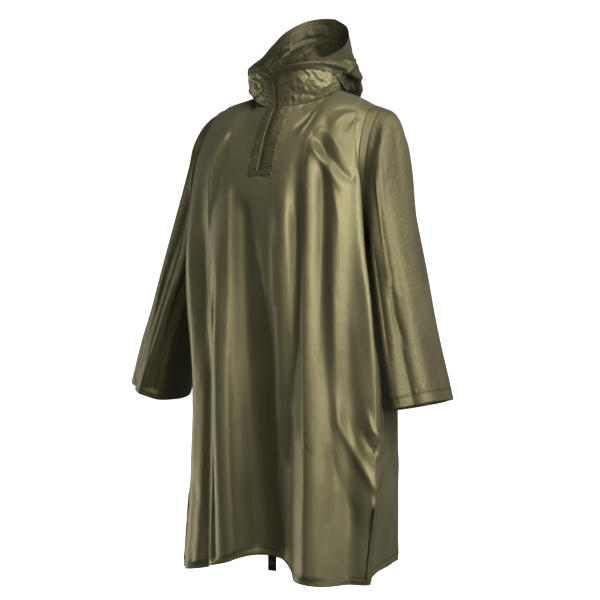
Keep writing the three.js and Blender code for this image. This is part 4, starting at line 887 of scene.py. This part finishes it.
def sleeveGrid(table, creases, side):
    half = np.pi * armRows / panelCut["underarmDrop"]
    loop = np.concatenate([half, 2 * np.pi - half[1:-1][::-1]])
    outer, inner, reachFront, reachBack = (readTable(table, name, sleeveRows)
                                           for name in ("outer", "inner", "front", "back"))
    at = sleeveRows[:, None]
    degrees = np.degrees(loop)[None]
    fold = np.zeros((len(sleeveRows), len(loop)))
    for row in sleeveFolds:
        f = dict(zip(sleeveFoldColumns, row))
        middle = f["topTurn"] + (f["cuffTurn"] - f["topTurn"]) * at
        fold += f["height"] * smooth(f["start"], f["full"],
                                     at) * np.exp(-(((degrees - middle) / f["width"]) ** 2))
    girth = 1 + fold / 90
    cos, sin = np.cos(loop)[None], np.sin(loop)[None]
    reach = np.where(sin > 0, reachFront[:, None], -reachBack[:, None])
    isInner = (loop[None] > np.pi / 2) & (loop[None] < np.pi)
    power = np.where(isInner, 1 - table["flatFront"] * smooth(0.04, 0.3, at), 1)
    sin = np.sign(sin) * np.abs(sin) ** power
    x = (outer[:, :1] + inner[:, :1]) / 2 + (outer[:, :1] - inner[:, :1]) / 2 * cos * girth
    z = (outer[:, 1:] + inner[:, 1:]) / 2 + (outer[:, 1:] - inner[:, 1:]) / 2 * cos * girth
    y = armhole["topY"] * cos * (1 - at) + reach * sin * girth
    y = y - table["innerForward"] * smooth(0.08, 0.4, at) * smooth(90, 180, 180 - np.abs(180 - degrees))
    grid = np.stack([x * side, y, z], axis=-1)
    drops = np.concatenate([armRows, armRows[1:-1][::-1]])
    seam = np.concatenate([armholePoint(armRows, True), armholePoint(armRows[1:-1][::-1], False)])
    seam = onSide(seam, side, drops)
    mix = np.clip(1 - sleeveRows * 16, 0, 1)[:, None, None]
    grid = grid + (seam[None] - grid[:1]) * mix
    signed = np.where(loop <= np.pi, degrees[0], degrees[0] - 360) * sleeveCut["perDegree"]
    around = np.repeat(signed[None], len(sleeveRows), 0)
    along = np.repeat(at * sleeveCut["length"], len(loop), 1)
    sense = 1 if side > 0 else -1
    height = creaseHeight(creases, around, along) * smooth(0, 20, along)
    band = sleeveCut["length"] - sleeveCut["cuffBand"]
    height += sleeveCut["bandRise"] * smooth(band - 1.5, band + 0.5, along)
    grid = grid + gridNormals(grid, sense, True) * height[..., None]
    round_ = np.concatenate([degrees[0], [360]]) * sleeveCut["perDegree"]
    uv = flatUv(*np.broadcast_arrays(round_[None], at * sleeveCut["length"]))
    return grid, uv, sense, gridNormals(grid, sense, True)


sleeves = {}
sleeveHalves = {1: ("left", leftSleeve, leftSleeveCreases), -1: ("right", rightSleeve, rightSleeveCreases)}
for side, (name, table, creases) in sleeveHalves.items():
    grid, uv, sense, normals = sleeveGrid(table, creases, side)
    along = np.repeat(sleeveRows[:, None] * sleeveCut["length"], grid.shape[1], 1)
    cuff = nearLine(along, sleeveCut["length"] - sleeveCut["cuffBand"], 1.8)
    made = shell(f"sleeve_{name}_cloth", grid, uv, sense, [shellFinish, insideFinish], isRing=True,
                 edge=cuff)
    sleeves[side] = (made, grid, normals)
print("sleeves made")

# Collar halves, from the zip round to the nape.
collarCut = {"long": 250, "high": 86, "foot": 0.3, "topBand": 7}
collarStations = {
    "base": [(0, -96, -43), (72, -57, -27), (101, 0, 0), (70, 56, 7), (0, 78, 10)],
    "middle": [(0, -98, -2), (83, -76, 8), (107, -8, 24), (68, 54, 28), (0, 74, 28)],
    "top": [(0, -107, 38), (73, -90, 43), (97, -14, 46), (63, 50, 46), (0, 69, 46)],
}
collarCreases = {side: [
    crease([(34, 14), (48, 40), (44, 70)], (5, 7), 3.2),
    crease([(62, 8), (70, 34), (90, 56)], 5, -4.2, sharp=1.3),
    crease([(74, 64), (98, 52), (118, 58)], 5, 4.2, sharp=1.3),
    crease([(30, 60), (52, 68), (78, 80)], 5, -2.6),
    crease([(108, 8), (102, 30), (112, 46)], 4, 2.6),
    crease([(118, 6), (114, 26), (124, 40)], 3.5, -2.4),
    crease([(128, 6), (126, 24), (132, 36)], 3.5, 2.2),
    crease([(44, 4), (54, 20), (58, 34)], 4, -2),
] + scatterCreases(130, (14, 240), (4, 84), (20, 60), (10, 30), (1.7, 3.4), (0.5, 1.8))
    + seamPuckers([(x, 84, side * 0.1 + 0.2, -1.0) for x in np.arange(20, 240, 6)], (14, 40), (2, 3.4),
                  (0.7, 1.8), (0.04, 0.8))
    + seamPuckers([(24, d, 0.9, -0.4) for d in np.arange(8, 86, 6)], (12, 34), (2, 3.2), (0.7, 1.7),
                  (0.05, 0.8))
    + seamPuckers([(8.5, d, 1.0, -0.35) for d in np.arange(6, 86, 4.2)], (9, 18), (1.7, 2.7), (0.6, 1.4),
                  (0.05, 0.4))
    for side in (1, -1)}


def collarLines(spread):
    lines = []
    for name in ("base", "middle", "top"):
        anchors = np.array(collarStations[name], float) * np.array([spread, 1, 1])
        mirror = np.array([-1, 1, 1])
        lines.append(curveThrough(anchors[None], anchors[1:2] * mirror, anchors[-2:-1] * mirror))
    return lines


def quadratic(lines, up):
    base, middle, top = lines
    return base * (1 - up) * (1 - 2 * up) + middle * 4 * up * (1 - up) + top * up * (2 * up - 1)


def collarGrid(side):
    spread = 1 if side > 0 else -rightHalf["spread"][0]
    at = np.linspace(0, 1, 200)
    lines = []
    for samples, lengths in collarLines(spread):
        wanted = zipCut["slotHalf"] + (lengths[0, -1] - zipCut["slotHalf"]) * at
        lines.append(pointsAt(samples, lengths, [wanted])[0][None])
    up = 1 - np.linspace(0, 1, 57)[:, None, None]
    grid = quadratic(lines, up) + np.array([0, 0, collarCut["foot"]])
    across, down = np.broadcast_arrays(at[None] * collarCut["long"], (1 - up[..., 0]) * collarCut["high"])
    sense = 1 if side > 0 else -1
    height = creaseHeight(collarCreases[side], across, down)
    height *= smooth(2, 8, across) * (1 - smooth(140, 200, across) * 0.6) * (1 - smooth(236, 250, across))
    height *= smooth(0, 8, down) * (1 - smooth(74, 86, down))
    height += 0.7 * (1 - smooth(collarCut["topBand"] - 1, collarCut["topBand"] + 1, down))
    grid = grid + gridNormals(grid, sense)[:, :] * height[..., None]
    return grid, flatUv(across, down), sense, gridNormals(grid, sense)


collars = {}
for side, name in ((1, "left"), (-1, "right")):
    grid, uv, sense, normals = collarGrid(side)
    s, d = uv[..., 0] / mm, uv[..., 1] / mm
    # the band beside the zip goes 0.6 of the way to the darker edge tone: painted shade, like the placket's;
    # the lines are sewing
    edge = np.maximum(0.6 * (1 - smooth(20, 27, s)), np.maximum(nearLine(s, 25, 1.2),
                                                                nearLine(d, collarCut["topBand"], 1.4)))
    made = shell(f"collar_{name}_cloth", grid, uv, sense, [crumpledFinish, insideFinish], edge=edge)
    collars[side] = (made, grid, normals)

# Hood halves: profiles of (reach from the head's axis, height) at turns round from the throat.
hoodCut = {"axisY": 20, "clearance": 3.4, "perDegree": 2.1, "rimBand": 16, "bandRise": 0.7}
hoodPlaces = ("base", "under", "lip", "side", "rim")
leftHood = {
    "turn": [4, 22, 42, 65, 85, 108, 130, 150, 166, 180],
    "base": [(127, 34), (132, 36), (130, 38), (115, 30), (113, 2.5), (100, 5), (88, 9), (73, 13), (67, 15),
             (66, 16)],
    "under": [(128, 38), (134, 40), (134, 47), (112, 42), (107, 36), (106, 28), (112, 14), (110, 6),
              (106, 2), (104, 1)],
    "lip": [(129, 42), (136, 45), (137, 50), (121, 49), (122, 42), (127, 32), (130, 16), (147, 3),
            (145, 4), (149, 2)],
    "side": [(129.5, 43.5), (136, 47), (136, 54), (119, 60), (117, 62), (117, 68), (118, 72), (132, 74),
             (150, 78), (158, 80)],
    "rim": [(129, 45), (134, 49), (131, 59), (103, 75), (90, 88), (86, 100), (93, 113), (116, 140),
            (136, 170), (139, 190)],
}
rightHood = {
    "turn": leftHood["turn"], "base": leftHood["base"],
    "under": [(128, 38), (132, 40), (130, 45), (113, 44), (108, 36), (106, 28), (112, 14), (110, 6),
              (106, 2), (104, 1)],
    "lip": [(129, 42), (133, 43), (129, 50), (119, 50), (119, 44), (123, 36), (132, 20), (142, 10),
            (147, 4), (149, 2)],
    "side": [(129.5, 43.5), (133, 46), (126, 54), (114, 64), (114, 74), (118, 86), (130, 92), (146, 94),
             (155, 88), (158, 80)],
    "rim": [(129, 45), (130, 49), (118, 60), (94, 81), (91, 103), (97, 129), (116, 160), (131, 185),
            (138, 193), (139, 190)],
}
# creases are in (mm round from the throat, mm down from the open edge)
hoodCreases = {1: [
    crease([(124, 96), (150, 70), (196, 52), (230, 30)], (10, 7), 6.5, sharp=1.3),
    crease([(140, 118), (178, 98), (216, 96), (262, 84)], (9, 6), -6.5, sharp=1.3),
    crease([(150, 140), (190, 122), (240, 116), (286, 130)], (6, 10), 6, sharp=1.3),
    crease([(150, 22), (190, 40), (240, 44)], 6, 5.4, sharp=1.4),
    crease([(150, 46), (200, 64), (262, 62)], (6, 8), -5, sharp=1.4),
    crease([(180, 70), (226, 86), (300, 76)], 7, 5.6, sharp=1.4),
    crease([(230, 30), (268, 62), (286, 110)], 7, -5, sharp=1.4),
    crease([(300, 26), (318, 80), (316, 150)], 8, 5.4, sharp=1.4),
    crease([(336, 40), (346, 100), (344, 180)], 8, -3),
], -1: [
    crease([(150, 30), (200, 50), (250, 48)], 8, -3.2),
    crease([(190, 74), (240, 90), (300, 80)], 8, 3.4),
    crease([(250, 30), (276, 90), (272, 160)], 10, 3.6),
    crease([(310, 40), (326, 100), (330, 180)], 8, -3),
]}
for side in (1, -1):
    hoodCreases[side] += scatterCreases(46, (110, 372), (14, 200), (30, 60), (30, 90), (4, 8), (1.4, 3.8))
    hoodCreases[side] += scatterCreases(90, (100, 372), (10, 210), (30, 60), (16, 44), (2.2, 4), (0.6, 1.5))


def collarReach(turn, height):
    up = np.array([0, 0.25, 0.5, 0.75, 1])[:, None, None]
    lines = []
    for samples, lengths in collarLines(1):
        lines.append(pointsAt(samples, lengths, [np.linspace(0, lengths[0, -1], 60)])[0][None])
    p = quadratic(lines, up)
    azimuth = np.degrees(np.arctan2(p[..., 0], hoodCut["axisY"] - p[..., 1]))
    first = np.array([np.nonzero((row >= turn) | (np.arange(60) == 59))[0][0] for row in azimuth])
    found = p[np.arange(5), first]
    profile = {"height": found[:, 2], "reach": np.hypot(found[:, 0], hoodCut["axisY"] - found[:, 1])}
    return readTable(profile, "reach", height)


def hoodGrid(table, side):
    spread = 1 if side > 0 else -rightHalf["spread"][0]
    coarse = np.linspace(table["turn"][0], 180, 23)
    base, underSide = readTable(table, "base", coarse), readTable(table, "under", coarse)
    pushes = []
    for turn, low, high in zip(coarse, base, underSide):
        t = np.array([0, 0.3, 0.6, 0.9])
        needed = collarReach(turn, low[1] + (high[1] - low[1]) * t) + hoodCut["clearance"]
        room = needed - low[0] - (high[0] - low[0]) * t
        pushes.append(max(0, room.max()))
    turns = np.linspace(table["turn"][0], 180, 190)
    push = np.interp(turns, coarse, pushes)
    profile = np.stack([readTable(table, name, turns) for name in hoodPlaces], axis=1)
    profile[..., 0] += push[:, None]
    samples, lengths = curveThrough(profile, 2 * profile[:, 0] - profile[:, 1],
                                    2 * profile[:, 4] - profile[:, 3])
    rows = 1 - np.linspace(0, 1, 96)
    points = pointsAt(samples, lengths, lengths[:, -1:] * rows[None])
    reach, height = points[..., 0].T, points[..., 1].T
    angle = np.radians(turns)[None]
    grid = np.stack([reach * np.sin(angle) * spread, hoodCut["axisY"] - reach * np.cos(angle), height],
                    axis=-1)
    grid[:, -1, 0] = 0
    around = np.repeat(turns[None] * hoodCut["perDegree"], len(rows), 0)
    down = (1 - rows)[:, None] * lengths[:, -1][None]
    sense = 1 if side > 0 else -1
    size = smooth(12, 60, lengths[:, -1])[None]
    lift = creaseHeight(hoodCreases[side], around, down) * size
    seam = 180 * hoodCut["perDegree"] - around
    toBase = lengths[:, -1][None] - down
    lift *= smooth(2, 14, seam) * smooth(2, 16, toBase) * (0.25 + 0.75 * smooth(4, 20, down))
    lift -= 1.1 * np.exp(-((seam / 2.4) ** 2))
    lift += hoodCut["bandRise"] * (1 - smooth(hoodCut["rimBand"] - 1, hoodCut["rimBand"] + 1, down)) * size
    normals = gridNormals(grid, sense)
    normals[:, -1, 0] = 0
    normals /= np.linalg.norm(normals, axis=2, keepdims=True)
    grid = grid + normals * lift[..., None]
    return grid, flatUv(around, down), sense, gridNormals(grid, sense)


hoods = {}
for side, name, table in ((1, "left", leftHood), (-1, "right", rightHood)):
    grid, uv, sense, normals = hoodGrid(table, side)
    # the hood's finishes are darker copies of the cloth: painted shade outside and inside
    made = shell(f"hood_{name}_cloth", grid, uv, sense, [hoodPaintedShadeFinish, hoodInsidePaintedShadeFinish],
                 edge=nearLine(uv[..., 1] / mm, hoodCut["rimBand"], 1.6))
    hoods[side] = (made, grid, normals)
print("collar and hood made")

# Placket, sewn round the zip.
placketAcross = np.concatenate([np.linspace(-30, -8, 17), np.linspace(-8, 8, 9)[1:-1],
                                np.linspace(8, 30, 17)])
placketDown = np.linspace(0, zipCut["placketBottom"], 150)
s, d = np.meshgrid(placketAcross, placketDown)
puckerBend = softNoise(s, d, 24) * 5 + softNoise(s, d, 9) * 1.6
pucker = np.sin((d + 0.45 * np.abs(s) + puckerBend) * 2 * math.pi / zipCut["puckerPitch"])
between = smooth(8, 12, np.abs(s)) * (1 - smooth(25, 30, np.abs(s)))
strength = 0.45 + 0.55 * smooth(-4, 8, s) + 0.3 * softNoise(s, d, 14)
ridge = zipCut["pucker"] * pucker * between * strength * smooth(0, 8, d) * (1 - smooth(182, 186, d))
ridge += 0.35 * softNoise(s, d, 5)
placketGrid, placketOut = front.at(s, d, zipCut["placketRise"])
placketGrid = placketGrid + placketOut * ridge[..., None]
inZip = ((np.abs((s[:, :-1] + s[:, 1:]) / 2) < zipCut["slotHalf"]) & (d[:, :-1] < zipCut["slotBottom"] - 1))
placketEdge = np.maximum(nearLine(np.abs(s), 27, 1.2), nearLine(np.abs(s), 11, 1.2))
# the placket's darker finish is painted shade
placket = shell("placket_cloth", placketGrid, flatUv(s, d), 1, [placketPaintedShadeFinish, insideFinish], skipped=inZip,
                thickness=zipCut["placketThickness"], edge=placketEdge)

# Zip: tapes and teeth.
belowCollar = np.arange(zipCut["slotBottom"] - 0.3, 0, -2.0)
leftEdge, _ = front.at(zipCut["slotHalf"], belowCollar)
rightEdge, _ = front.at(-zipCut["slotHalf"], belowCollar)
onCollar = quadratic([np.array(collarStations[name][0], float)[None] for name in ("base", "middle", "top")],
                     np.linspace(0.06, 1, 30)[:, None]) + np.array([0, 0, collarCut["foot"]])
zipPath = np.concatenate([(leftEdge + rightEdge) / 2, onCollar])
for _ in range(3):
    zipPath[1:-1] = (zipPath[:-2] + 2 * zipPath[1:-1] + zipPath[2:]) / 4
zipPath[:, 0] = 0
zipUp = np.gradient(zipPath, axis=0)
zipUp /= np.linalg.norm(zipUp, axis=1, keepdims=True)
zipOut = np.cross(zipUp, np.array([1.0, 0, 0]))
zipOut *= np.where(zipOut[:, 1:2] > 0, -1, 1)
zipLengths = np.concatenate([[0], np.cumsum(np.linalg.norm(np.diff(zipPath, axis=0), axis=1))])
tapes = {}
for side, name in ((1, "left"), (-1, "right")):
    offsets = np.linspace(0.3, zipCut["tapeHalf"], 7) if side > 0 else np.linspace(-zipCut["tapeHalf"],
                                                                                   -0.3, 7)
    line = (zipPath - zipOut * zipCut["sink"])[::-1]
    grid = line[:, None] + offsets[None, :, None] * np.array([1.0, 0, 0])
    uv = flatUv(*np.broadcast_arrays(offsets[None], zipLengths[-1] - zipLengths[::-1][:, None]))
    tapes[side] = shell(f"zip_tape_{name}_cloth", grid, uv, 1, [tapeFinish],
                        thickness=zipCut["tapeThickness"])


def capsules(name, middle, ahead, out, size, material):
    # small rounded bars: size is (length, half width, half height)
    beside = np.cross(ahead, out)
    local = stitchPoints * np.array(size)
    placed = (middle[:, None] + local[None, :, :1] * ahead[:, None] + local[None, :, 1:2] * beside[:, None]
              + local[None, :, 2:] * out[:, None])
    faces = stitchFaces[None] + np.arange(len(middle))[:, None, None] * len(stitchPoints)
    made = meshObject(name, placed.reshape(-1, 3), faces.reshape(-1, 3), None, [material])
    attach(made, "poncho")


toothPlaces = np.arange(1.5, zipLengths[-1] - 10, zipCut["toothPitch"] / 2)
read = lambda table, at: np.stack([np.interp(at, zipLengths, table[:, k]) for k in range(3)], axis=1)
toothSide = np.where(np.arange(len(toothPlaces)) % 2, 1, -1)[:, None]
toothMiddle = read(zipPath, toothPlaces) + toothSide * np.array([[0.9, 0, 0]]) + read(zipOut,
                                                                                      toothPlaces) * -0.15
toothAhead = np.repeat(np.array([[1.0, 0, 0]]), len(toothPlaces), 0)
capsules("zip_teeth", toothMiddle, toothAhead, read(zipOut, toothPlaces), zipCut["toothSize"], toothFinish)

# Hem tab: black webbing that hangs below the hem.
tabLow, tabHigh = (np.array(corner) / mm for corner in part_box("hem_tab"))
tabAcross, tabDown = np.linspace(tabLow[0], tabHigh[0], 13), np.linspace(tabHigh[2], tabLow[2], 40)
x, z = np.meshgrid(tabAcross, tabDown)
y = np.full_like(x, tabLow[1]) + 0.25 * np.cos((x - tabAcross.mean()) / 4)
x = x + 0.8 * np.sin((tabHigh[2] - z) / 30)
tab = shell("hem_tab_webbing", np.stack([x, y, z], axis=-1), flatUv(x, z), 1, [webbingFinish],
            thickness=1.5)

def hemLine(panel, drop, inside=3):
    row = int(np.interp(drop, levels, np.arange(len(levels))))
    return panel.at(np.linspace(panel.across[row, 0] + inside, panel.across[row, -1] - inside, 260), drop)


def downLine(panel, edge, inside, start, end):
    # a row of sewing that keeps its distance from a side edge
    drops = np.linspace(start, end, 120)
    rows = np.clip(np.searchsorted(levels, drops), 0, len(levels) - 1)
    across = panel.across[rows, -1 if edge > 0 else 0] - edge * inside
    return panel.at(across, drops)


hemEdge = panelCut["hemDrop"] - panelCut["hemBand"] + 1.5
for name, panel, slitTop in (("front", front, 700), ("back", back, 702)):
    slitLines = [downLine(panel, e, i, slitTop, 1072) for e in (1, -1) for i in (3, 9)]
    stitches(f"{name}_hem_stitches", [hemLine(panel, hemEdge)] + slitLines)
stitches("side_seam_stitches", [downLine(front, e, 3.5, 345, 698) for e in (1, -1)])
stitches("shoulder_stitches", [front.at(np.linspace(e * 104, e * 236, 90), 3.5) for e in (1, -1)])
stitchRise = zipCut["placketRise"] + zipCut["stitchLift"]
placketLines = [front.at(x, np.linspace(2, 196, 100), stitchRise) for x in (-27, -10.5, 10.5, 27)]
placketLines += [front.at(np.linspace(-27, 27, 40), drop, stitchRise) for drop in (189.5, 196)]
stitches("placket_stitches", placketLines)
sleeveLines, collarSewing, hoodSewing = [], [], []
for side in (1, -1):
    _, grid, normals = sleeves[side]
    row = int(np.searchsorted(sleeveRows, 1 - (sleeveCut["cuffBand"] - 1.5) / sleeveCut["length"]))
    closed = lambda table: np.concatenate([table, table[:1]])
    sleeveLines.append((closed(grid[row]), closed(normals[row])))
    _, grid, normals = collars[side]
    collarSewing += [(grid[4, 5:], normals[4, 5:]), (grid[-3, 5:], normals[-3, 5:])]
    for column in (2, 12):
        collarSewing.append((grid[2:-1, column], normals[2:-1, column]))
    _, grid, normals = hoods[side]
    hoodSewing.append((grid[1:, -3], normals[1:, -3]))
    run = np.cumsum(np.linalg.norm(np.diff(grid, axis=0), axis=2), axis=0)
    columns = np.arange(30, grid.shape[1] - 1)
    pick = [int(np.searchsorted(run[:, c], hoodCut["rimBand"] - 2)) for c in columns]
    hoodSewing.append((grid[pick, columns], normals[pick, columns]))
stitches("sleeve_stitches", sleeveLines)
stitches("collar_stitches", collarSewing)
stitches("hood_stitches", hoodSewing)
print("sewing done")

# Each cloth piece goes on the poncho in place of the solid that it stands for, which is hidden.
clothSheet(frontCloth, "front_panel")
clothSheet(backCloth, "back_panel")
for side, name in ((1, "left"), (-1, "right")):
    clothSheet(sleeves[side][0], f"sleeve_{name}")
    clothSheet(collars[side][0], f"collar_{name}")
    clothSheet(hoods[side][0], f"hood_{name}")
    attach(tapes[side], "poncho")
    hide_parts(f"zip_tape_{name}")
clothSheet(placket, "zip_placket")
clothSheet(tab, "hem_tab")

# Stage, light and camera. Azimuths are in degrees from the front towards the wearer's left.
view = {"azimuth": 31, "distance": 3.6, "aimHeight": -0.466, "lens": 96}
lights = [
    {"name": "keySoftbox", "azimuth": 72, "height": 0.75, "distance": 2.1, "size": (1.6, 1.7), "power": 80},
    {"name": "topSoftbox", "azimuth": 36, "height": 1.85, "distance": 1.0, "size": (0.7, 0.6), "power": 22},
    {"name": "sideSoftbox", "azimuth": 112, "height": 1.1, "distance": 2.2, "size": (0.8, 1.0),
     "power": 25, "diffuse": False},
    {"name": "leftSoftbox", "azimuth": -84, "height": -0.45, "distance": 2.4, "size": (1.0, 1.6),
     "power": 34},
    {"name": "backSoftbox", "azimuth": 205, "height": 0.2, "distance": 3.0, "size": (1.2, 1.2),
     "power": 30, "glossy": False},
    {"name": "lowFill", "azimuth": 8, "height": -1.2, "distance": 2.2, "size": (1.3, 1.0), "power": 46,
     "glossy": False},
]
aim = Vector((0, 0, view["aimHeight"]))


def aroundAim(azimuth, distance, height):
    turn = math.radians(azimuth)
    return aim + Vector((math.sin(turn) * distance, -math.cos(turn) * distance, height))


for s in lights:
    lamp = bpy.data.lights.new(s["name"], "AREA")
    lamp.shape = "RECTANGLE"
    lamp.size, lamp.size_y = s["size"]
    lamp.energy = s["power"]
    lamp.color = (1, 0.985, 0.96)
    item = bpy.data.objects.new(s["name"], lamp)
    item.location = aroundAim(s["azimuth"], s["distance"], s["height"])
    item.rotation_euler = (aim - item.location).to_track_quat("-Z", "Y").to_euler()
    item.visible_glossy = s.get("glossy", True)
    item.visible_diffuse = s.get("diffuse", True)
    bpy.context.collection.objects.link(item)

world = bpy.data.worlds.new("studioAir")
bpy.context.scene.world = world
world.use_nodes = True
world.node_tree.nodes["Background"].inputs["Color"].default_value = (0.9, 0.92, 0.95, 1)
world.node_tree.nodes["Background"].inputs["Strength"].default_value = 0.1

sweep = bpy.data.materials.new("paleFloor")
sweep.use_nodes = True
shader = sweep.node_tree.nodes["Principled BSDF"]
shader.inputs["Base Color"].default_value = (0.9, 0.9, 0.9, 1)
shader.inputs["Roughness"].default_value = 0.9
shader.inputs["Emission Color"].default_value = (1, 1, 1, 1)
shader.inputs["Emission Strength"].default_value = 1.1
floorSize = {"half": 9000, "level": -1500}
h, low = floorSize["half"], floorSize["level"]
floor = meshObject("paleFloor", [(-h, -h, low), (h, -h, low), (h, h, low), (-h, h, low)], [(0, 1, 2, 3)],
                   None, [sweep])
wall = {"reach": 6500, "top": 6500, "sides": 32}
turns = np.linspace(0, 2 * np.pi, wall["sides"], endpoint=False)
ring = [(wall["reach"] * math.cos(t), wall["reach"] * math.sin(t)) for t in turns]
corners = [(x, y, z) for z in (low, wall["top"]) for x, y in ring]
count = wall["sides"]
quads = [(k, (k + 1) % count, (k + 1) % count + count, k + count) for k in range(count)]
wallBehind = meshObject("paleWall", corners, quads, None, [sweep])
for item in (floor, wallBehind):
    item.visible_glossy = False
    item.visible_diffuse = False

camera = bpy.data.objects.new("camera", bpy.data.cameras.new("camera"))
camera.data.lens = view["lens"]
camera.data.sensor_width = 36
camera.location = aroundAim(view["azimuth"], view["distance"], 0)
camera.rotation_euler = (aim - camera.location).to_track_quat("-Z", "Y").to_euler()
bpy.context.collection.objects.link(camera)
bpy.context.scene.camera = camera
bpy.context.scene.view_settings.view_transform = "Standard"
print("studio ready")
